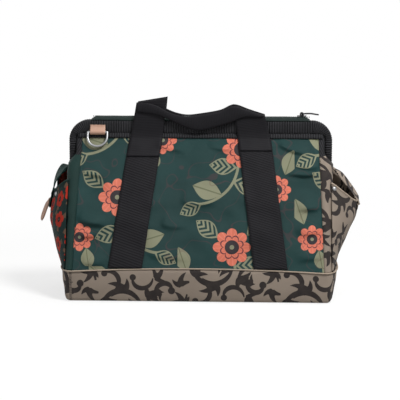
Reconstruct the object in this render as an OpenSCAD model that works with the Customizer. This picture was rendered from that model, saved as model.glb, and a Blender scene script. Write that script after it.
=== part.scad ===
// Framed-mouth carpet bag: cloth shell on a base boot, two U-shaped rods in sleeves that
// hinge open at the mouth, a zip between them, webbing straps and handles, end pockets.
// +X runs along the bag, the front faces -Y, the origin is the base's middle on the floor.

/* [Shell] */
// Length of the base along X
base_len = 400; // [380:1:430]
// Depth of the base along Y
base_depth = 190; // [180:1:205]
// Height of the boot at the corners
boot_h = 45; // [38:1:55]
// Rise of the boot's top edge at mid-length
boot_arch = 5; // [2:0.5:8]
// Height of the panels' top edge
panel_top = 238; // [232:1:246]
// Half-width of the gap between the panels at the mouth
mouth_half = 12; // [11.5:0.1:12.4]
// How far a panel bows out between boot and mouth
panel_bulge = 8; // [4:0.5:9]
// How far a panel's top corners stand in from the ends of the base
panel_inset = 22; // [20:1:30]
// Thickness of the shell cloth
cloth_t = 2; // [1.5:0.1:2.4]
// Depth of the creases near the ends of the panels
crease = 2.2; // [0:0.1:3]

/* [Base] */
// Rounding of the boot's bottom edge
boot_round = 5; // [3:0.5:7]
// Thickness of the stiff base board
board_t = 3; // [2:0.1:5]
// Thickness of the lining
lining_t = 1; // [0.8:0.1:1.5]

/* [Frame] */
// Height of the pivots that join the two rods
pivot_z = 186; // [183:1:188]
// Diameter of a frame rod
rod_d = 5; // [4:0.1:5.6]
// Corner radius of a frame rod
rod_corner = 22; // [18:1:26]
// Distance of a rod from the middle plane
rod_off = 7; // [6.5:0.1:7.5]
// Thickness of the flattened eye at a rod's foot
eye_t = 2.2; // [1.8:0.1:2.4]
// Radius of the eye
eye_r = 6; // [5:0.1:6.4]
// Diameter of the pivot pin
pin_d = 3; // [2.4:0.1:3.6]
// Diameter of the pivot pin's head
pin_head_d = 7; // [6:0.1:8]

/* [Sleeve] */
// Height of the sleeve's top run
sleeve_h = 21; // [18:0.5:24]
// Thickness of a sleeve along Y
sleeve_t = 11; // [10:0.2:11.6]
// Width of the sleeve's end legs along X
sleeve_leg = 11; // [10:0.2:12]
// Outer corner radius of the sleeve
sleeve_corner = 30; // [26:1:34]
// Inner corner radius of the sleeve
sleeve_inner = 5; // [3:0.5:6]

/* [Zip] */
// How far the zip's strips stop short of the ends of the base
strip_inset = 35; // [33:1:42]
// Height of the zip above the sleeve
zip_rise = 6; // [5:0.2:7]
// Length of the slider
slider_len = 14; // [12:0.5:16]
// Distance of the shut slider from the strips' end
slider_inset = 12; // [10:0.5:15]
// Length of the zip's pull loop
pull_len = 27; // [20:1:32]

/* [Straps and handles] */
// Width of the webbing
web_w = 50; // [44:1:52]
// Thickness of the webbing
web_t = 2.4; // [1.8:0.1:2.8]
// Distance of a strap's foot from the middle of the panel
strap_foot = 108; // [104:1:112]
// Distance of a strap's head from the middle of the panel
strap_head = 82; // [76:1:88]
// Height of the handle's folded corners above the sleeve
handle_rise = 23; // [19:1:31]
// How much higher the left fold stands than the middle
handle_tilt = 7; // [0:0.5:9]
// Height of the grip's underside above the sleeve's lower edge
grip_lift = 8; // [5:1:12]
// Height of the half-folded grip
grip_h = 25; // [22:1:28]

/* [Rings] */
// Width of a D-ring
ring_w = 33; // [30:1:36]
// Height of a D-ring
ring_h = 26; // [24:1:28]
// Wire diameter of a D-ring
ring_wire = 3.6; // [3:0.1:4]
// Distance of a D-ring from the end of the frame
ring_inset = 38.5; // [34:0.5:44]
// Width of a ring's leather tab
tab_w = 23; // [20:0.5:24]
// Height of a ring's leather tab
tab_h = 12; // [10:0.5:14]
// Lean of a resting ring out from the vertical
ring_lean = 25; // [24:1:32]

/* [End pockets] */
// How far the left pocket stands out
left_bulge = 33; // [26:1:36]
// How far the right pocket stands out
right_bulge = 44; // [38:1:50]
// Height of the left pocket's rim at its ends
left_rim = 174; // [166:1:177]
// Height of the right pocket's rim at its ends
right_rim = 172; // [164:1:176]
// Width of the pockets' closure straps
closure_w = 26; // [20:1:30]
// Length of the leather pull tab
pull_tab_len = 38; // [30:1:44]
// Diameter of the pocket rivets
rivet_d = 7; // [5:0.5:9]

/* [Hidden] */
$fn = 48;

green = "#2d4a48";
taupe = "#8f8072";
webbing = "#27262a";
leather = "#deb194";
steel = "#b8babd";
coral = "#d4553f";

// Clearance between pieces that lie on each other
gap = 0.3;
// Hair of room along a sewn seam
seam = 0.2;
// The corner of the shell between a panel's edge and the end
corner_run = 14;
// Squareness of the rounded ends
end_power = 4;
// Thickness of the boot's cloth
boot_wall = cloth_t + 0.4;
// Height range in which the ends draw in to seat the frame
neck_rise = 65;
neck_drop = 20;
neck_low = boot_h + neck_rise;
neck_high = pivot_z - neck_drop;
// Half-length of the frame to the rods' middle, and of the shell between the rods
frame_half = base_len / 2 - 6.5;
neck_half = frame_half - sleeve_leg / 2 - 2;
panel_top_len = base_len - 2 * panel_inset;

sleeve_low = panel_top + 3;
sleeve_top = sleeve_low + sleeve_h;
sleeve_near = rod_off - sleeve_t / 2;
sleeve_far = rod_off + sleeve_t / 2;
sleeve_foot = pivot_z + 14;
rod_z = sleeve_top - 8;
neck_r = rod_d / 2 + 1;
neck_at = [rod_off, 6];
// Room between the two rods' eyes, and where the pins start and end
eye_gap = 0.6;
pin_in = neck_half + gap + seam;
pin_out = frame_half + eye_gap / 2 + eye_t + gap + 1.6;

zip_z = sleeve_top + zip_rise;
chain_t = 2;
chain_w = 2.2;
chain_near = 0.6;
plate_t = 1.4;
slider_w = 8;
strip_len = base_len - 2 * strip_inset;
slider_x = strip_len / 2 - slider_inset;
chain_half = slider_x - slider_len / 2 - 1;
bail_z = zip_z + plate_t + 2.6;
bail_bore = 2.6;
pull_wire = 2;

ring_x = frame_half - ring_inset;
ring_z = sleeve_low + 3;
tab_r = ring_wire / 2 + gap + 1.5;
ring_y = sleeve_far + tab_r + 0.2;
ring_r = (ring_w - ring_wire) / 2;

handle_near = sleeve_far + gap;
handle_top = sleeve_top + handle_rise;
grip_low = sleeve_low + grip_lift;
panel_cols = 20;
panel_rows = 18;
end_cols = 14;
end_rows = panel_rows - 4;
pocket_cols = 20;
pocket_rows = 10;

function lerp(a, b, t) = a + (b - a) * t;
function clamp(t) = max(0, min(1, t));
function smooth(t) = let (c = clamp(t)) c * c * (3 - 2 * c);

// Half-depth, half-length and panel half-width of the shell at a height
function rise_at(z) = clamp((z - boot_h) / (panel_top - boot_h));
function depth_at(z) = lerp(base_depth / 2, mouth_half, rise_at(z)) + panel_bulge * sin(180 * rise_at(z));
function length_at(z) = lerp(base_len / 2, neck_half, smooth((z - neck_low) / (neck_high - neck_low)));
function flat_at(z) = lerp(base_len / 2 - corner_run, panel_top_len / 2, rise_at(z));

// How far the creases push the panel's face out: level folds, only outside the straps
function crease_at(x, z) =
  let (wide = smooth((abs(x) - strap_foot - web_w / 2 - 4) / 12))
  let (level = (z - boot_h) / (panel_top - boot_h))
  wide * crease * (pow(sin(level * 900 + x * 0.35), 2)) * sin(180 * level);

// A point of the front face: s from -1 to 1 across, t from 0 to 1 up, drawn in by inset
function front_point(s, t, inset, fold = 0) =
  let (foot = boot_h + boot_arch * (1 - s * s) + seam)
  let (z = lerp(foot, panel_top, t))
  let (x = s * flat_at(z))
  [x, inset - depth_at(z) - fold * crease_at(x, z), z];

// A point of an end: a runs from -90 to 90 degrees round it, front to back
function end_point(side, a, z, inset) =
  let (c = pow(abs(cos(a)), 2 / end_power), s = sign(a) * pow(abs(sin(a)), 2 / end_power))
  let (run = length_at(z) - flat_at(z))
  [side * (flat_at(z) + (run - inset) * c), s * (depth_at(z) - inset), z];

// How far an end reaches along X at a place across it
function end_reach(y, z) =
  let (q = clamp(abs(y) / depth_at(z)))
  flat_at(z) + (length_at(z) - flat_at(z)) * pow(1 - pow(q, end_power), 1 / end_power);

// Closed solid between an outer and an inner grid of points
function flatten(l) = [for (a = l) for (b = a) b];
function sheet_faces(nr, nc) =
  let (half = nr * nc)
  concat(
    [for (i = [0:nr - 2], j = [0:nc - 2]) each let (a = i * nc + j, b = a + nc)
      [[a, b, a + 1], [a + 1, b, b + 1],
       [half + a, half + a + 1, half + b], [half + a + 1, half + b + 1, half + b]]],
    [for (j = [0:nc - 2]) each let (a = j, b = (nr - 1) * nc + j)
      [[a, a + 1, half + a], [a + 1, half + a + 1, half + a],
       [b, half + b, b + 1], [b + 1, half + b, half + b + 1]]],
    [for (i = [0:nr - 2]) each let (a = i * nc, b = a + nc - 1)
      [[a, half + a, a + nc], [a + nc, half + a, half + a + nc],
       [b, b + nc, half + b], [b + nc, half + b + nc, half + b]]]);

module sheet(outer, inner) {
  polyhedron(concat(flatten(outer), flatten(inner)), sheet_faces(len(outer), len(outer[0])), 10);
}

// Closed solid from a stack of closed rings, capped by a fan at both ends
function middle(ring) = let (n = len(ring)) [for (k = [0:2]) [for (p = ring) p[k]] * [for (p = ring) 1 / n]];
module ring_stack(rings) {
  n = len(rings[0]);
  top = len(rings) - 1;
  low_mid = (top + 1) * n;
  points = concat(flatten(rings), [middle(rings[0]), middle(rings[top])]);
  faces = [for (j = [0:n - 1]) each let (k = (j + 1) % n) concat(
    [for (i = [0:top - 1]) each let (a = i * n + j, b = i * n + k) [[a, a + n, b], [b, a + n, b + n]]],
    [[j, k, low_mid], [top * n + k, top * n + j, low_mid + 1]])];
  polyhedron(points, faces, 10);
}

// One ring round the shell at a share t of its height above the boot, or at a plain height
function shell_ring(inset, t = 0, z = undef) =
  let (h = z == undef ? lerp(boot_h, panel_top, t) : z)
  let (face = [for (i = [0:panel_cols / 2 - 1]) let (s = lerp(-1, 1, i / (panel_cols / 2)))
    z == undef ? front_point(s, t, inset) : [s * flat_at(z), inset - depth_at(z), z]])
  let (end = [for (i = [0:end_cols - 1]) end_point(1, lerp(-90, 90, i / end_cols), h, inset)])
  let (halfway = concat(face, end))
  concat(halfway, [for (p = halfway) [-p[0], -p[1], p[2]]]);

function lower(ring, d) = [for (p = ring) [p[0], p[1], p[2] - d]];

module base_boot() {
  outer = [for (a = [0:30:90]) shell_ring(boot_round * (1 - sin(a)), z = boot_round * (1 - cos(a)))];
  seat = lower(shell_ring(0, 0), 2 * seam);
  color(taupe) ring_stack(concat(outer, [seat, lower(shell_ring(boot_wall, 0), 2 * seam)],
    [shell_ring(boot_wall, z = boot_round), shell_ring(boot_wall + 2, z = boot_wall)]));
}

module base_board() {
  edge = cloth_t + lining_t + boot_round;
  color("#6f675f") translate([0, 0, boot_wall])
    linear_extrude(board_t) square([base_len - 2 * edge, base_depth - 2 * edge], center = true);
}

module front_panel() {
  rows = [0:panel_rows];
  cols = [0:panel_cols];
  outer = [for (i = rows) [for (j = cols) front_point(lerp(-1, 1, j / panel_cols), i / panel_rows, 0, 1)]];
  inner = [for (i = rows) [for (j = cols)
    front_point(lerp(-1, 1, j / panel_cols), i / panel_rows, cloth_t)]];
  color(green) sheet(outer, inner);
}

module back_panel() mirror([0, 1, 0]) front_panel();

// Closed end of the shell between the two panels' edges
module gusset(side) {
  rows = [0:end_rows];
  foot = boot_h + seam;
  function grid(inset) = [for (i = rows) [for (j = [0:end_cols])
    let (a = lerp(-90, 90, j / end_cols))
    let (p = end_point(1, a, lerp(foot, panel_top - 2, i / end_rows), inset)) [p[0] + seam, p[1], p[2]]]];
  color(side < 0 ? green : taupe) mirror([side < 0 ? 1 : 0, 0, 0]) sheet(grid(0), grid(cloth_t));
}

module left_gusset() gusset(-1);
module right_gusset() gusset(1);

module lining() {
  out = boot_wall + gap;
  floor_z = boot_wall + board_t + gap;
  levels = 7;
  reach = 0.98 / levels;
  outer = concat([shell_ring(out + 4, z = floor_z)], [for (i = [0:levels]) shell_ring(out, i * reach)]);
  inner = [for (i = [levels:-1:0]) shell_ring(out + lining_t, i * reach)];
  color(coral) ring_stack(concat(outer, inner, [shell_ring(out + lining_t + 4, z = floor_z + lining_t)]));
}

// Share of the end a pocket spans, its gathers at the rim, and how square its swell is
pocket_share = 0.93;
gather_depth = 1.6;
gather_count = 3;
swell_power = 2.4;
// Pocket on an end: v from -1 to 1 across, t from 0 to 1 up to the sagging rim
// The rear part of the rim stands higher than the front part, by rear_lift times the dip
rear_lift = 0.42;
function rim_at(rim, dip, v) =
  rim - dip * (1 - v * v) * (1 - rear_lift * 1.5 * smooth((v - 0.32) / 0.3));
function pocket_width(z) = depth_at(z) * pocket_share;
function pocket_point(v, t, off, bulge, rim, dip, fill) =
  let (z = lerp(boot_h + 1, rim_at(rim, dip, v), t))
  let (y = v * pocket_width(z))
  let (gather = gather_depth * t * cos(360 * gather_count * v) * (1 - v * v))
  let (swell = bulge * pow(t, fill) * (1 - pow(abs(v), swell_power)))
  [end_reach(y, z) + gap + off + swell + gather * (1 - abs(v)), y, z];

module pocket(bulge, rim, dip, fill) {
  function grid(off) = [for (i = [0:pocket_rows]) [for (j = [0:pocket_cols])
    pocket_point(lerp(-1, 1, j / pocket_cols), i / pocket_rows, off, bulge, rim, dip, fill)]];
  sheet(grid(cloth_t + seam), grid(seam));
}

left_dip = 20;
right_dip = 33;
left_fill = 0.45;
right_fill = 1;

module left_pocket() color(green) mirror([1, 0, 0]) pocket(left_bulge, left_rim, left_dip, left_fill);
module right_pocket() color(taupe) pocket(right_bulge, right_rim, right_dip, right_fill);

// Flat band along a path in the XZ plane, with its width along Y
module band(path, width, thick) {
  n = len(path) - 1;
  function along(i) = let (d = path[min(n, i + 1)] - path[max(0, i - 1)]) d / norm(d);
  function layer(h) = [for (i = [0:n]) let (d = along(i)) [for (y = [-width / 2, width / 2])
    [path[i][0] - d[1] * h, y, path[i][1] + d[0] * h]]];
  sheet(layer(thick), layer(0));
}

function bow(a, b, c, n) = [for (i = [0:n]) let (t = i / n)
  (1 - t) * (1 - t) * a + 2 * t * (1 - t) * b + t * t * c];

// Closure strap: over the pocket's mouth and down its face
closure_t = 1.8;
function pocket_edge(t, bulge, rim, dip, fill) =
  let (p = pocket_point(0, t, cloth_t + seam + 2 * gap, bulge, rim, dip, fill)) [p[0], p[2]];
// It is sewn to the gusset inside the pocket, rises past the pivot, then arches over to the lip:
// arch gives where along the span its crown stands, and how far above the shoulder;
// lap gives the share of the pocket's height it laps
root_drop = 6;
closure_root = neck_high - root_drop;
closure_lead = 8;
left_crown = 14;
right_crown = -8;
closure_clear = pin_out + 3 * gap + closure_t;
function closure_path(bulge, rim, dip, fill, arch, lap) =
  let (root = [end_reach(0, closure_root) + gap + seam + closure_t, closure_root])
  let (shoulder = [closure_clear, pivot_z + 4])
  let (lip = pocket_edge(1, bulge, rim, dip, fill) + [0.6, 0.8])
  let (crown = [lerp(shoulder[0], lip[0], arch[0]), shoulder[1] + arch[1]])
  concat(bow(root, [shoulder[0], root[1] + closure_lead], shoulder, 4),
    [for (i = [1:7]) bow(shoulder, crown, lip, 7)[i]],
    [for (i = [1:4]) pocket_edge(1 - lap * i / 4, bulge, rim, dip, fill)]);

left_closure = closure_path(left_bulge, left_rim, left_dip, left_fill, [0.95, left_crown], 0.24);
right_closure = closure_path(right_bulge, right_rim, right_dip, right_fill, [0.5, right_crown], 0.12);

module left_pocket_strap() color(green) mirror([1, 0, 0]) band(left_closure, closure_w, closure_t);
module right_pocket_strap() color(taupe) band(right_closure, closure_w, closure_t);

// Leather tab's thickness, width beside the strap, and how far out and down it hangs
pull_tab_t = 2.6;
pull_tab_share = 0.54;
pull_tab_hang = [0.34, -0.92];
// Leather tab sewn to the end of the left closure strap, hanging clear of the pocket
module left_pull_tab() {
  top = left_closure[len(left_closure) - 3] + [closure_t + 2 * gap, 0];
  end = top + pull_tab_len * pull_tab_hang;
  color(leather) mirror([1, 0, 0])
    band(bow(top, top + [6, -pull_tab_len * 0.3], end, 6), closure_w * pull_tab_share, pull_tab_t);
}

// Round rivet at the front corner of each pocket's rim, square to the cloth there
left_rivet = [-0.5, 0.93];
right_rivet = [-0.9, 0.93];
rivet_h = 1.6;
module rivet(place, bulge, rim, dip, fill) {
  function face(dv, dt) =
    pocket_point(place[0] + dv, place[1] + dt, cloth_t + seam, bulge, rim, dip, fill);
  out = cross(face(0.05, 0) - face(-0.05, 0), face(0, 0.05) - face(0, -0.05));
  way = out / norm(out);
  translate(face(0, 0) + way * 2 * gap) rotate([0, acos(way[2]), atan2(way[1], way[0])])
    cylinder(d = rivet_d, h = rivet_h);
}

module pocket_rivets() color(steel) {
  mirror([1, 0, 0]) rivet(left_rivet, left_bulge, left_rim, left_dip, left_fill);
  rivet(right_rivet, right_bulge, right_rim, right_dip, right_fill);
}

// Webbing sewn up a panel: it leans inward from the boot to just under the sleeve
strap_end = panel_top - 3;
function strap_mid(z) = lerp(strap_foot, strap_head, (z - boot_h) / (strap_end - boot_h));
module sewn_strap(side) {
  z0 = boot_h + boot_arch + 1;
  function layer(out) = [for (i = [0:panel_rows]) let (z = lerp(z0, strap_end, i / panel_rows))
    [for (s = [-1, 1]) [side * strap_mid(z) + s * web_w / 2, -depth_at(z) - gap - out, z]]];
  color(webbing) sheet(layer(web_t), layer(0));
}

module front_strap_left() sewn_strap(-1);
module front_strap_right() sewn_strap(1);
module back_strap_left() mirror([0, 1, 0]) sewn_strap(-1);
module back_strap_right() mirror([0, 1, 0]) sewn_strap(1);

// Pins through the eyes of both rods, headed on each side
module pivot_pins() color(steel) for (side = [-1, 1]) mirror([side < 0 ? 1 : 0, 0, 0])
  translate([pin_in, 0, pivot_z]) rotate([0, 90, 0]) {
    cylinder(d = pin_head_d, h = 1.4);
    cylinder(d = pin_d, h = pin_out - pin_in);
    translate([0, 0, pin_out - pin_in - 1.4]) cylinder(d = pin_head_d, h = 1.4);
  }

// U-shaped run of round rod in the plane y = -rod_off
module rod_run(r) translate([0, -rod_off, 0]) {
  run = frame_half - rod_corner;
  translate([-run, 0, rod_z]) rotate([0, 90, 0]) cylinder(r = r, h = 2 * run);
  for (side = [0, 1]) mirror([side, 0, 0]) {
    translate([run, 0, rod_z - rod_corner]) rotate([90, 0, 0])
      rotate_extrude(angle = 90) translate([rod_corner, 0]) circle(r);
    translate([frame_half, 0, pivot_z + neck_at[1]])
      cylinder(r = r, h = rod_z - rod_corner - pivot_z - neck_at[1]);
  }
}

// Flattened foot of a rod, from the eye to the round section, thickness along X
module eye_plate(x0, grow) {
  foot = eye_r + grow;
  head = neck_r + grow;
  translate([x0 - grow, 0, pivot_z]) rotate([0, 90, 0]) linear_extrude(eye_t + 2 * grow) {
    circle(foot);
    translate([-neck_at[1] - 4, -neck_at[0]]) circle(head);
    polygon([[-2, foot - 0.6], [2, -foot + 0.6], [-neck_at[1] - 2, -neck_at[0] - head + 0.4],
      [-neck_at[1] - 6, -neck_at[0] + head - 0.4]]);
  }
}

// The front rod's eyes lie inside the rear rod's
module frame_rod(front) color("#3a3b3e") {
  x0 = front ? frame_half - eye_gap / 2 - eye_t : frame_half + eye_gap / 2;
  difference() {
    union() {
      rod_run(rod_d / 2);
      for (side = [0, 1]) mirror([side, 0, 0]) eye_plate(x0, 0);
    }
    translate([-base_len, 0, pivot_z]) rotate([0, 90, 0]) cylinder(d = pin_d + 2 * gap, h = 2 * base_len);
  }
}

module front_frame() frame_rod(true);
module rear_frame() mirror([0, 1, 0]) frame_rod(false);

// Flat gate shape with rounded upper corners, standing on the line y = foot
module gate(half, foot, top, r) {
  translate([-half, foot]) square([2 * half, top - foot - r]);
  translate([r - half, foot]) square([2 * (half - r), top - foot]);
  for (side = [-1, 1]) translate([side * (half - r), top - r]) circle(r);
}

// Binding along the sleeve's lower edge, which laps the outside of the panel's top
module seam_binding() {
  root = sleeve_far - 1.5;
  lap = depth_at(panel_top - 2) + 2 * gap;
  rotate([90, 0, 90]) translate([0, 0, -panel_top_len / 2]) linear_extrude(panel_top_len)
    polygon([[-root, sleeve_low + 0.5], [-root, sleeve_low], [-lap, panel_top - 2],
      [-lap - 1.8, panel_top - 2], [-sleeve_far, sleeve_low], [-sleeve_far, sleeve_low + 0.5]]);
}

module sleeve() color(webbing) {
  outer = frame_half + sleeve_leg / 2;
  difference() {
    translate([0, -sleeve_near, 0]) rotate([90, 0, 0]) linear_extrude(sleeve_t) difference() {
      gate(outer, sleeve_foot, sleeve_top, sleeve_corner);
      translate([0, -1]) gate(outer - sleeve_leg, sleeve_foot, sleeve_low + 1, sleeve_inner);
    }
    rod_run(rod_d / 2 + gap);
  }
  seam_binding();
}

module front_sleeve() sleeve();
module rear_sleeve() mirror([0, 1, 0]) sleeve();

// Cloth strip from the sleeve's top up to the zip, the same section all along
module zip_strip() color(green) {
  edge = chain_near + chain_w;
  rotate([90, 0, 90]) translate([0, 0, -strip_len / 2]) linear_extrude(strip_len)
    polygon([[-sleeve_far, sleeve_top], [-sleeve_far + 3.4, sleeve_top],
      [-edge, zip_z - 1.4], [-edge, zip_z - 0.2], [-edge - 2, zip_z - 0.2], [-sleeve_far, sleeve_top + 1.4]]);
}

module zip_chain(half) color("#1f2326") translate([-half, -chain_near - chain_w, zip_z - chain_t + 0.2])
  cube([2 * half, chain_w, chain_t]);

module front_zip_strip() zip_strip();
module rear_zip_strip() mirror([0, 1, 0]) zip_strip();
module front_zip_chain() zip_chain(chain_half);
module rear_zip_chain() mirror([0, 1, 0]) zip_chain(strip_len / 2);

// Slider: a plate above and below the chain, joined by the web that runs between the halves
module zip_slider() color(webbing) translate([slider_x, 0, 0]) {
  top = zip_z + 0.2 + gap;
  low = zip_z - chain_t - 1.2 - gap;
  web = chain_near - gap;
  difference() {
    union() {
      translate([-slider_len / 2, -slider_w / 2, top]) cube([slider_len, slider_w, plate_t]);
      translate([-slider_len / 2, -slider_w / 2 + 1.4, low - plate_t]) cube([slider_len, slider_w - 2.8, plate_t]);
      translate([-2.5, -web, low - plate_t]) cube([5, 2 * web, top - low + 2 * plate_t]);
      translate([-3, -1.5, top]) cube([6, 3, bail_z - top]);
      translate([0, 1.5, bail_z]) rotate([90, 0, 0]) cylinder(r = 3, h = 3);
    }
    translate([0, 10, bail_z]) rotate([90, 0, 0]) cylinder(d = bail_bore, h = 20);
  }
}

// Pull: a long flat loop whose cross pin turns in the slider's bail
module zip_pull() color("#1d1d20") translate([slider_x, 0, bail_z]) {
  near = 1.5 + gap;
  far = near + pull_wire;
  translate([0, 0, -pull_wire / 2]) linear_extrude(pull_wire) difference() {
    union() {
      translate([-pull_wire / 2, -far]) square([pull_len - pull_wire / 2, 2 * far]);
      translate([pull_len - pull_wire, 0]) circle(far);
    }
    translate([-2 * pull_wire, -near]) square([pull_len + pull_wire, 2 * near]);
    translate([pull_len - pull_wire, 0]) circle(near);
  }
  rotate([90, 0, 0]) cylinder(d = pull_wire, h = near + far, center = true);
}

// Carrying handle: two flat legs in front of the sleeve, and a half-folded grip between them
leg_low = sleeve_low + 0.5;
leg_head = strap_head - 9;
// Slant of the left and the right fold
fold_slant = [5, 7];
function slant_at(side) = fold_slant[side < 0 ? 0 : 1];
grip_steps = 24;
grip_reach = leg_head + web_w / 2 - 6;
grip_back = -handle_near - web_t;
grip_belly = 2.2;

// One upright section of the grip: q from -1 to 1 along it, y the depth of the layer
function grip_sag(q) = lerp(grip_low, handle_top - q * handle_tilt - grip_h - slant_at(q), pow(abs(q), 1.6));
function grip_section(q, y, belly) =
  let (low = grip_sag(q), x = q * grip_reach)
  [[x, y, low], [x, y - belly, low + grip_h / 2], [x, y, low + grip_h]];
function grip_layer(y, belly) =
  [for (i = [0:grip_steps]) grip_section(lerp(-1, 1, i / grip_steps), y, belly)];

module handle_leg(side) {
  foot = side * (strap_head - 2);
  head = side * leg_head;
  half = web_w / 2;
  slant = side * slant_at(side);
  top = handle_top - side * handle_tilt;
  translate([0, -handle_near, 0]) rotate([90, 0, 0]) linear_extrude(web_t)
    polygon([[foot - half, leg_low], [foot + half, leg_low],
      [head + half, top - slant], [head - half, top + slant]]);
}

module handle() color(webbing) {
  for (side = [-1, 1]) handle_leg(side);
  sheet(grip_layer(grip_back, 0), grip_layer(grip_back - web_t, grip_belly));
}

module front_handle() handle();
module rear_handle() mirror([0, 1, 0]) handle();

// Leather tab sewn to the sleeve, rolled round the ring's straight bar
module ring_tab() color(leather) translate([-ring_x, 0, 0]) difference() {
  union() {
    translate([-tab_w / 2, -sleeve_far - 2, ring_z]) cube([tab_w, 2, tab_h - 1]);
    translate([-tab_w / 2, -ring_y, ring_z]) rotate([0, 90, 0]) cylinder(r = tab_r, h = tab_w);
  }
  translate([-tab_w, -ring_y, ring_z]) rotate([0, 90, 0]) cylinder(d = ring_wire + 2 * gap, h = 2 * tab_w);
}

module front_ring_tab() ring_tab();
module rear_ring_tab() rotate([0, 0, 180]) ring_tab();

// D-ring: straight bar in the tab, two short sides and a half round below
module d_ring() color(steel) translate([-ring_x, -ring_y, ring_z]) rotate([-ring_lean, 0, 0]) {
  side_len = ring_h - ring_wire / 2 - ring_r - ring_wire / 2;
  rotate([0, 90, 0]) cylinder(d = ring_wire, h = 2 * ring_r, center = true);
  for (x = [-ring_r, ring_r]) {
    translate([x, 0, 0]) sphere(d = ring_wire);
    translate([x, 0, -side_len]) cylinder(d = ring_wire, h = side_len);
  }
  translate([0, 0, -side_len]) rotate([90, 180, 0])
    rotate_extrude(angle = 180) translate([ring_r, 0]) circle(d = ring_wire);
}

module front_d_ring() d_ring();
module rear_d_ring() rotate([0, 0, 180]) d_ring();

base_board();
base_boot();
front_panel();
back_panel();
left_gusset();
right_gusset();
lining();
left_pocket();
right_pocket();
left_pocket_strap();
right_pocket_strap();
left_pull_tab();
pocket_rivets();
front_strap_left();
front_strap_right();
back_strap_left();
back_strap_right();
pivot_pins();
front_frame();
front_sleeve();
front_zip_strip();
front_zip_chain();
front_handle();
front_ring_tab();
rear_frame();
rear_sleeve();
rear_zip_strip();
rear_zip_chain();
rear_handle();
rear_ring_tab();
zip_slider();
zip_pull();
front_d_ring();
rear_d_ring();
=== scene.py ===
import bpy
import math
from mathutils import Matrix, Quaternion, Vector, noise


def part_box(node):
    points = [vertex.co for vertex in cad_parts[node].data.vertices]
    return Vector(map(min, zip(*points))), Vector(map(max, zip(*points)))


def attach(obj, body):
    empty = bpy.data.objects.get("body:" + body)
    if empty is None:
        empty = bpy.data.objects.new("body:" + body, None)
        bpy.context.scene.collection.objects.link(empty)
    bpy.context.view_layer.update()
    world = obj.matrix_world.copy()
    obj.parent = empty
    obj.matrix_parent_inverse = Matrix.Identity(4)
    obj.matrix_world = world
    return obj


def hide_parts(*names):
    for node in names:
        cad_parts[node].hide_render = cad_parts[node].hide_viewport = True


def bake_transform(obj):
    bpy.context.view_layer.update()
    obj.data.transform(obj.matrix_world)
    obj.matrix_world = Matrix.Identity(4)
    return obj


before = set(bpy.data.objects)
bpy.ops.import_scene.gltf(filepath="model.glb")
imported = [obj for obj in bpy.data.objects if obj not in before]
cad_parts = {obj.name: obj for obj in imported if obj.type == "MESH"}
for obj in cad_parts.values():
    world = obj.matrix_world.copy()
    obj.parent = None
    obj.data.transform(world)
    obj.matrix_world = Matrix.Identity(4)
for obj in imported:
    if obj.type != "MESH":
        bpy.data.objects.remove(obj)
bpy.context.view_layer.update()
mm = 0.001
print("frame loaded:", len(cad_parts), "nodes")


# Shader maths as Python expressions: a socket that adds a Math node for each operator
class Value:
    def __init__(self, kit, socket):
        self.kit = kit
        self.socket = socket

    def __add__(self, other):
        return self.kit.math("ADD", self, other)

    def __radd__(self, other):
        return self.kit.math("ADD", other, self)

    def __sub__(self, other):
        return self.kit.math("SUBTRACT", self, other)

    def __rsub__(self, other):
        return self.kit.math("SUBTRACT", other, self)

    def __mul__(self, other):
        return self.kit.math("MULTIPLY", self, other)

    def __rmul__(self, other):
        return self.kit.math("MULTIPLY", other, self)

    def __truediv__(self, other):
        return self.kit.math("DIVIDE", self, other)

    def __rtruediv__(self, other):
        return self.kit.math("DIVIDE", other, self)

    def __pow__(self, other):
        return self.kit.math("POWER", self, other)

    def __mod__(self, other):
        return self.kit.math("FLOORED_MODULO", self, other)

    def __lt__(self, other):
        return self.kit.math("LESS_THAN", self, other)

    def __gt__(self, other):
        return self.kit.math("GREATER_THAN", self, other)

    def __abs__(self):
        return self.kit.math("ABSOLUTE", self)


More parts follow.
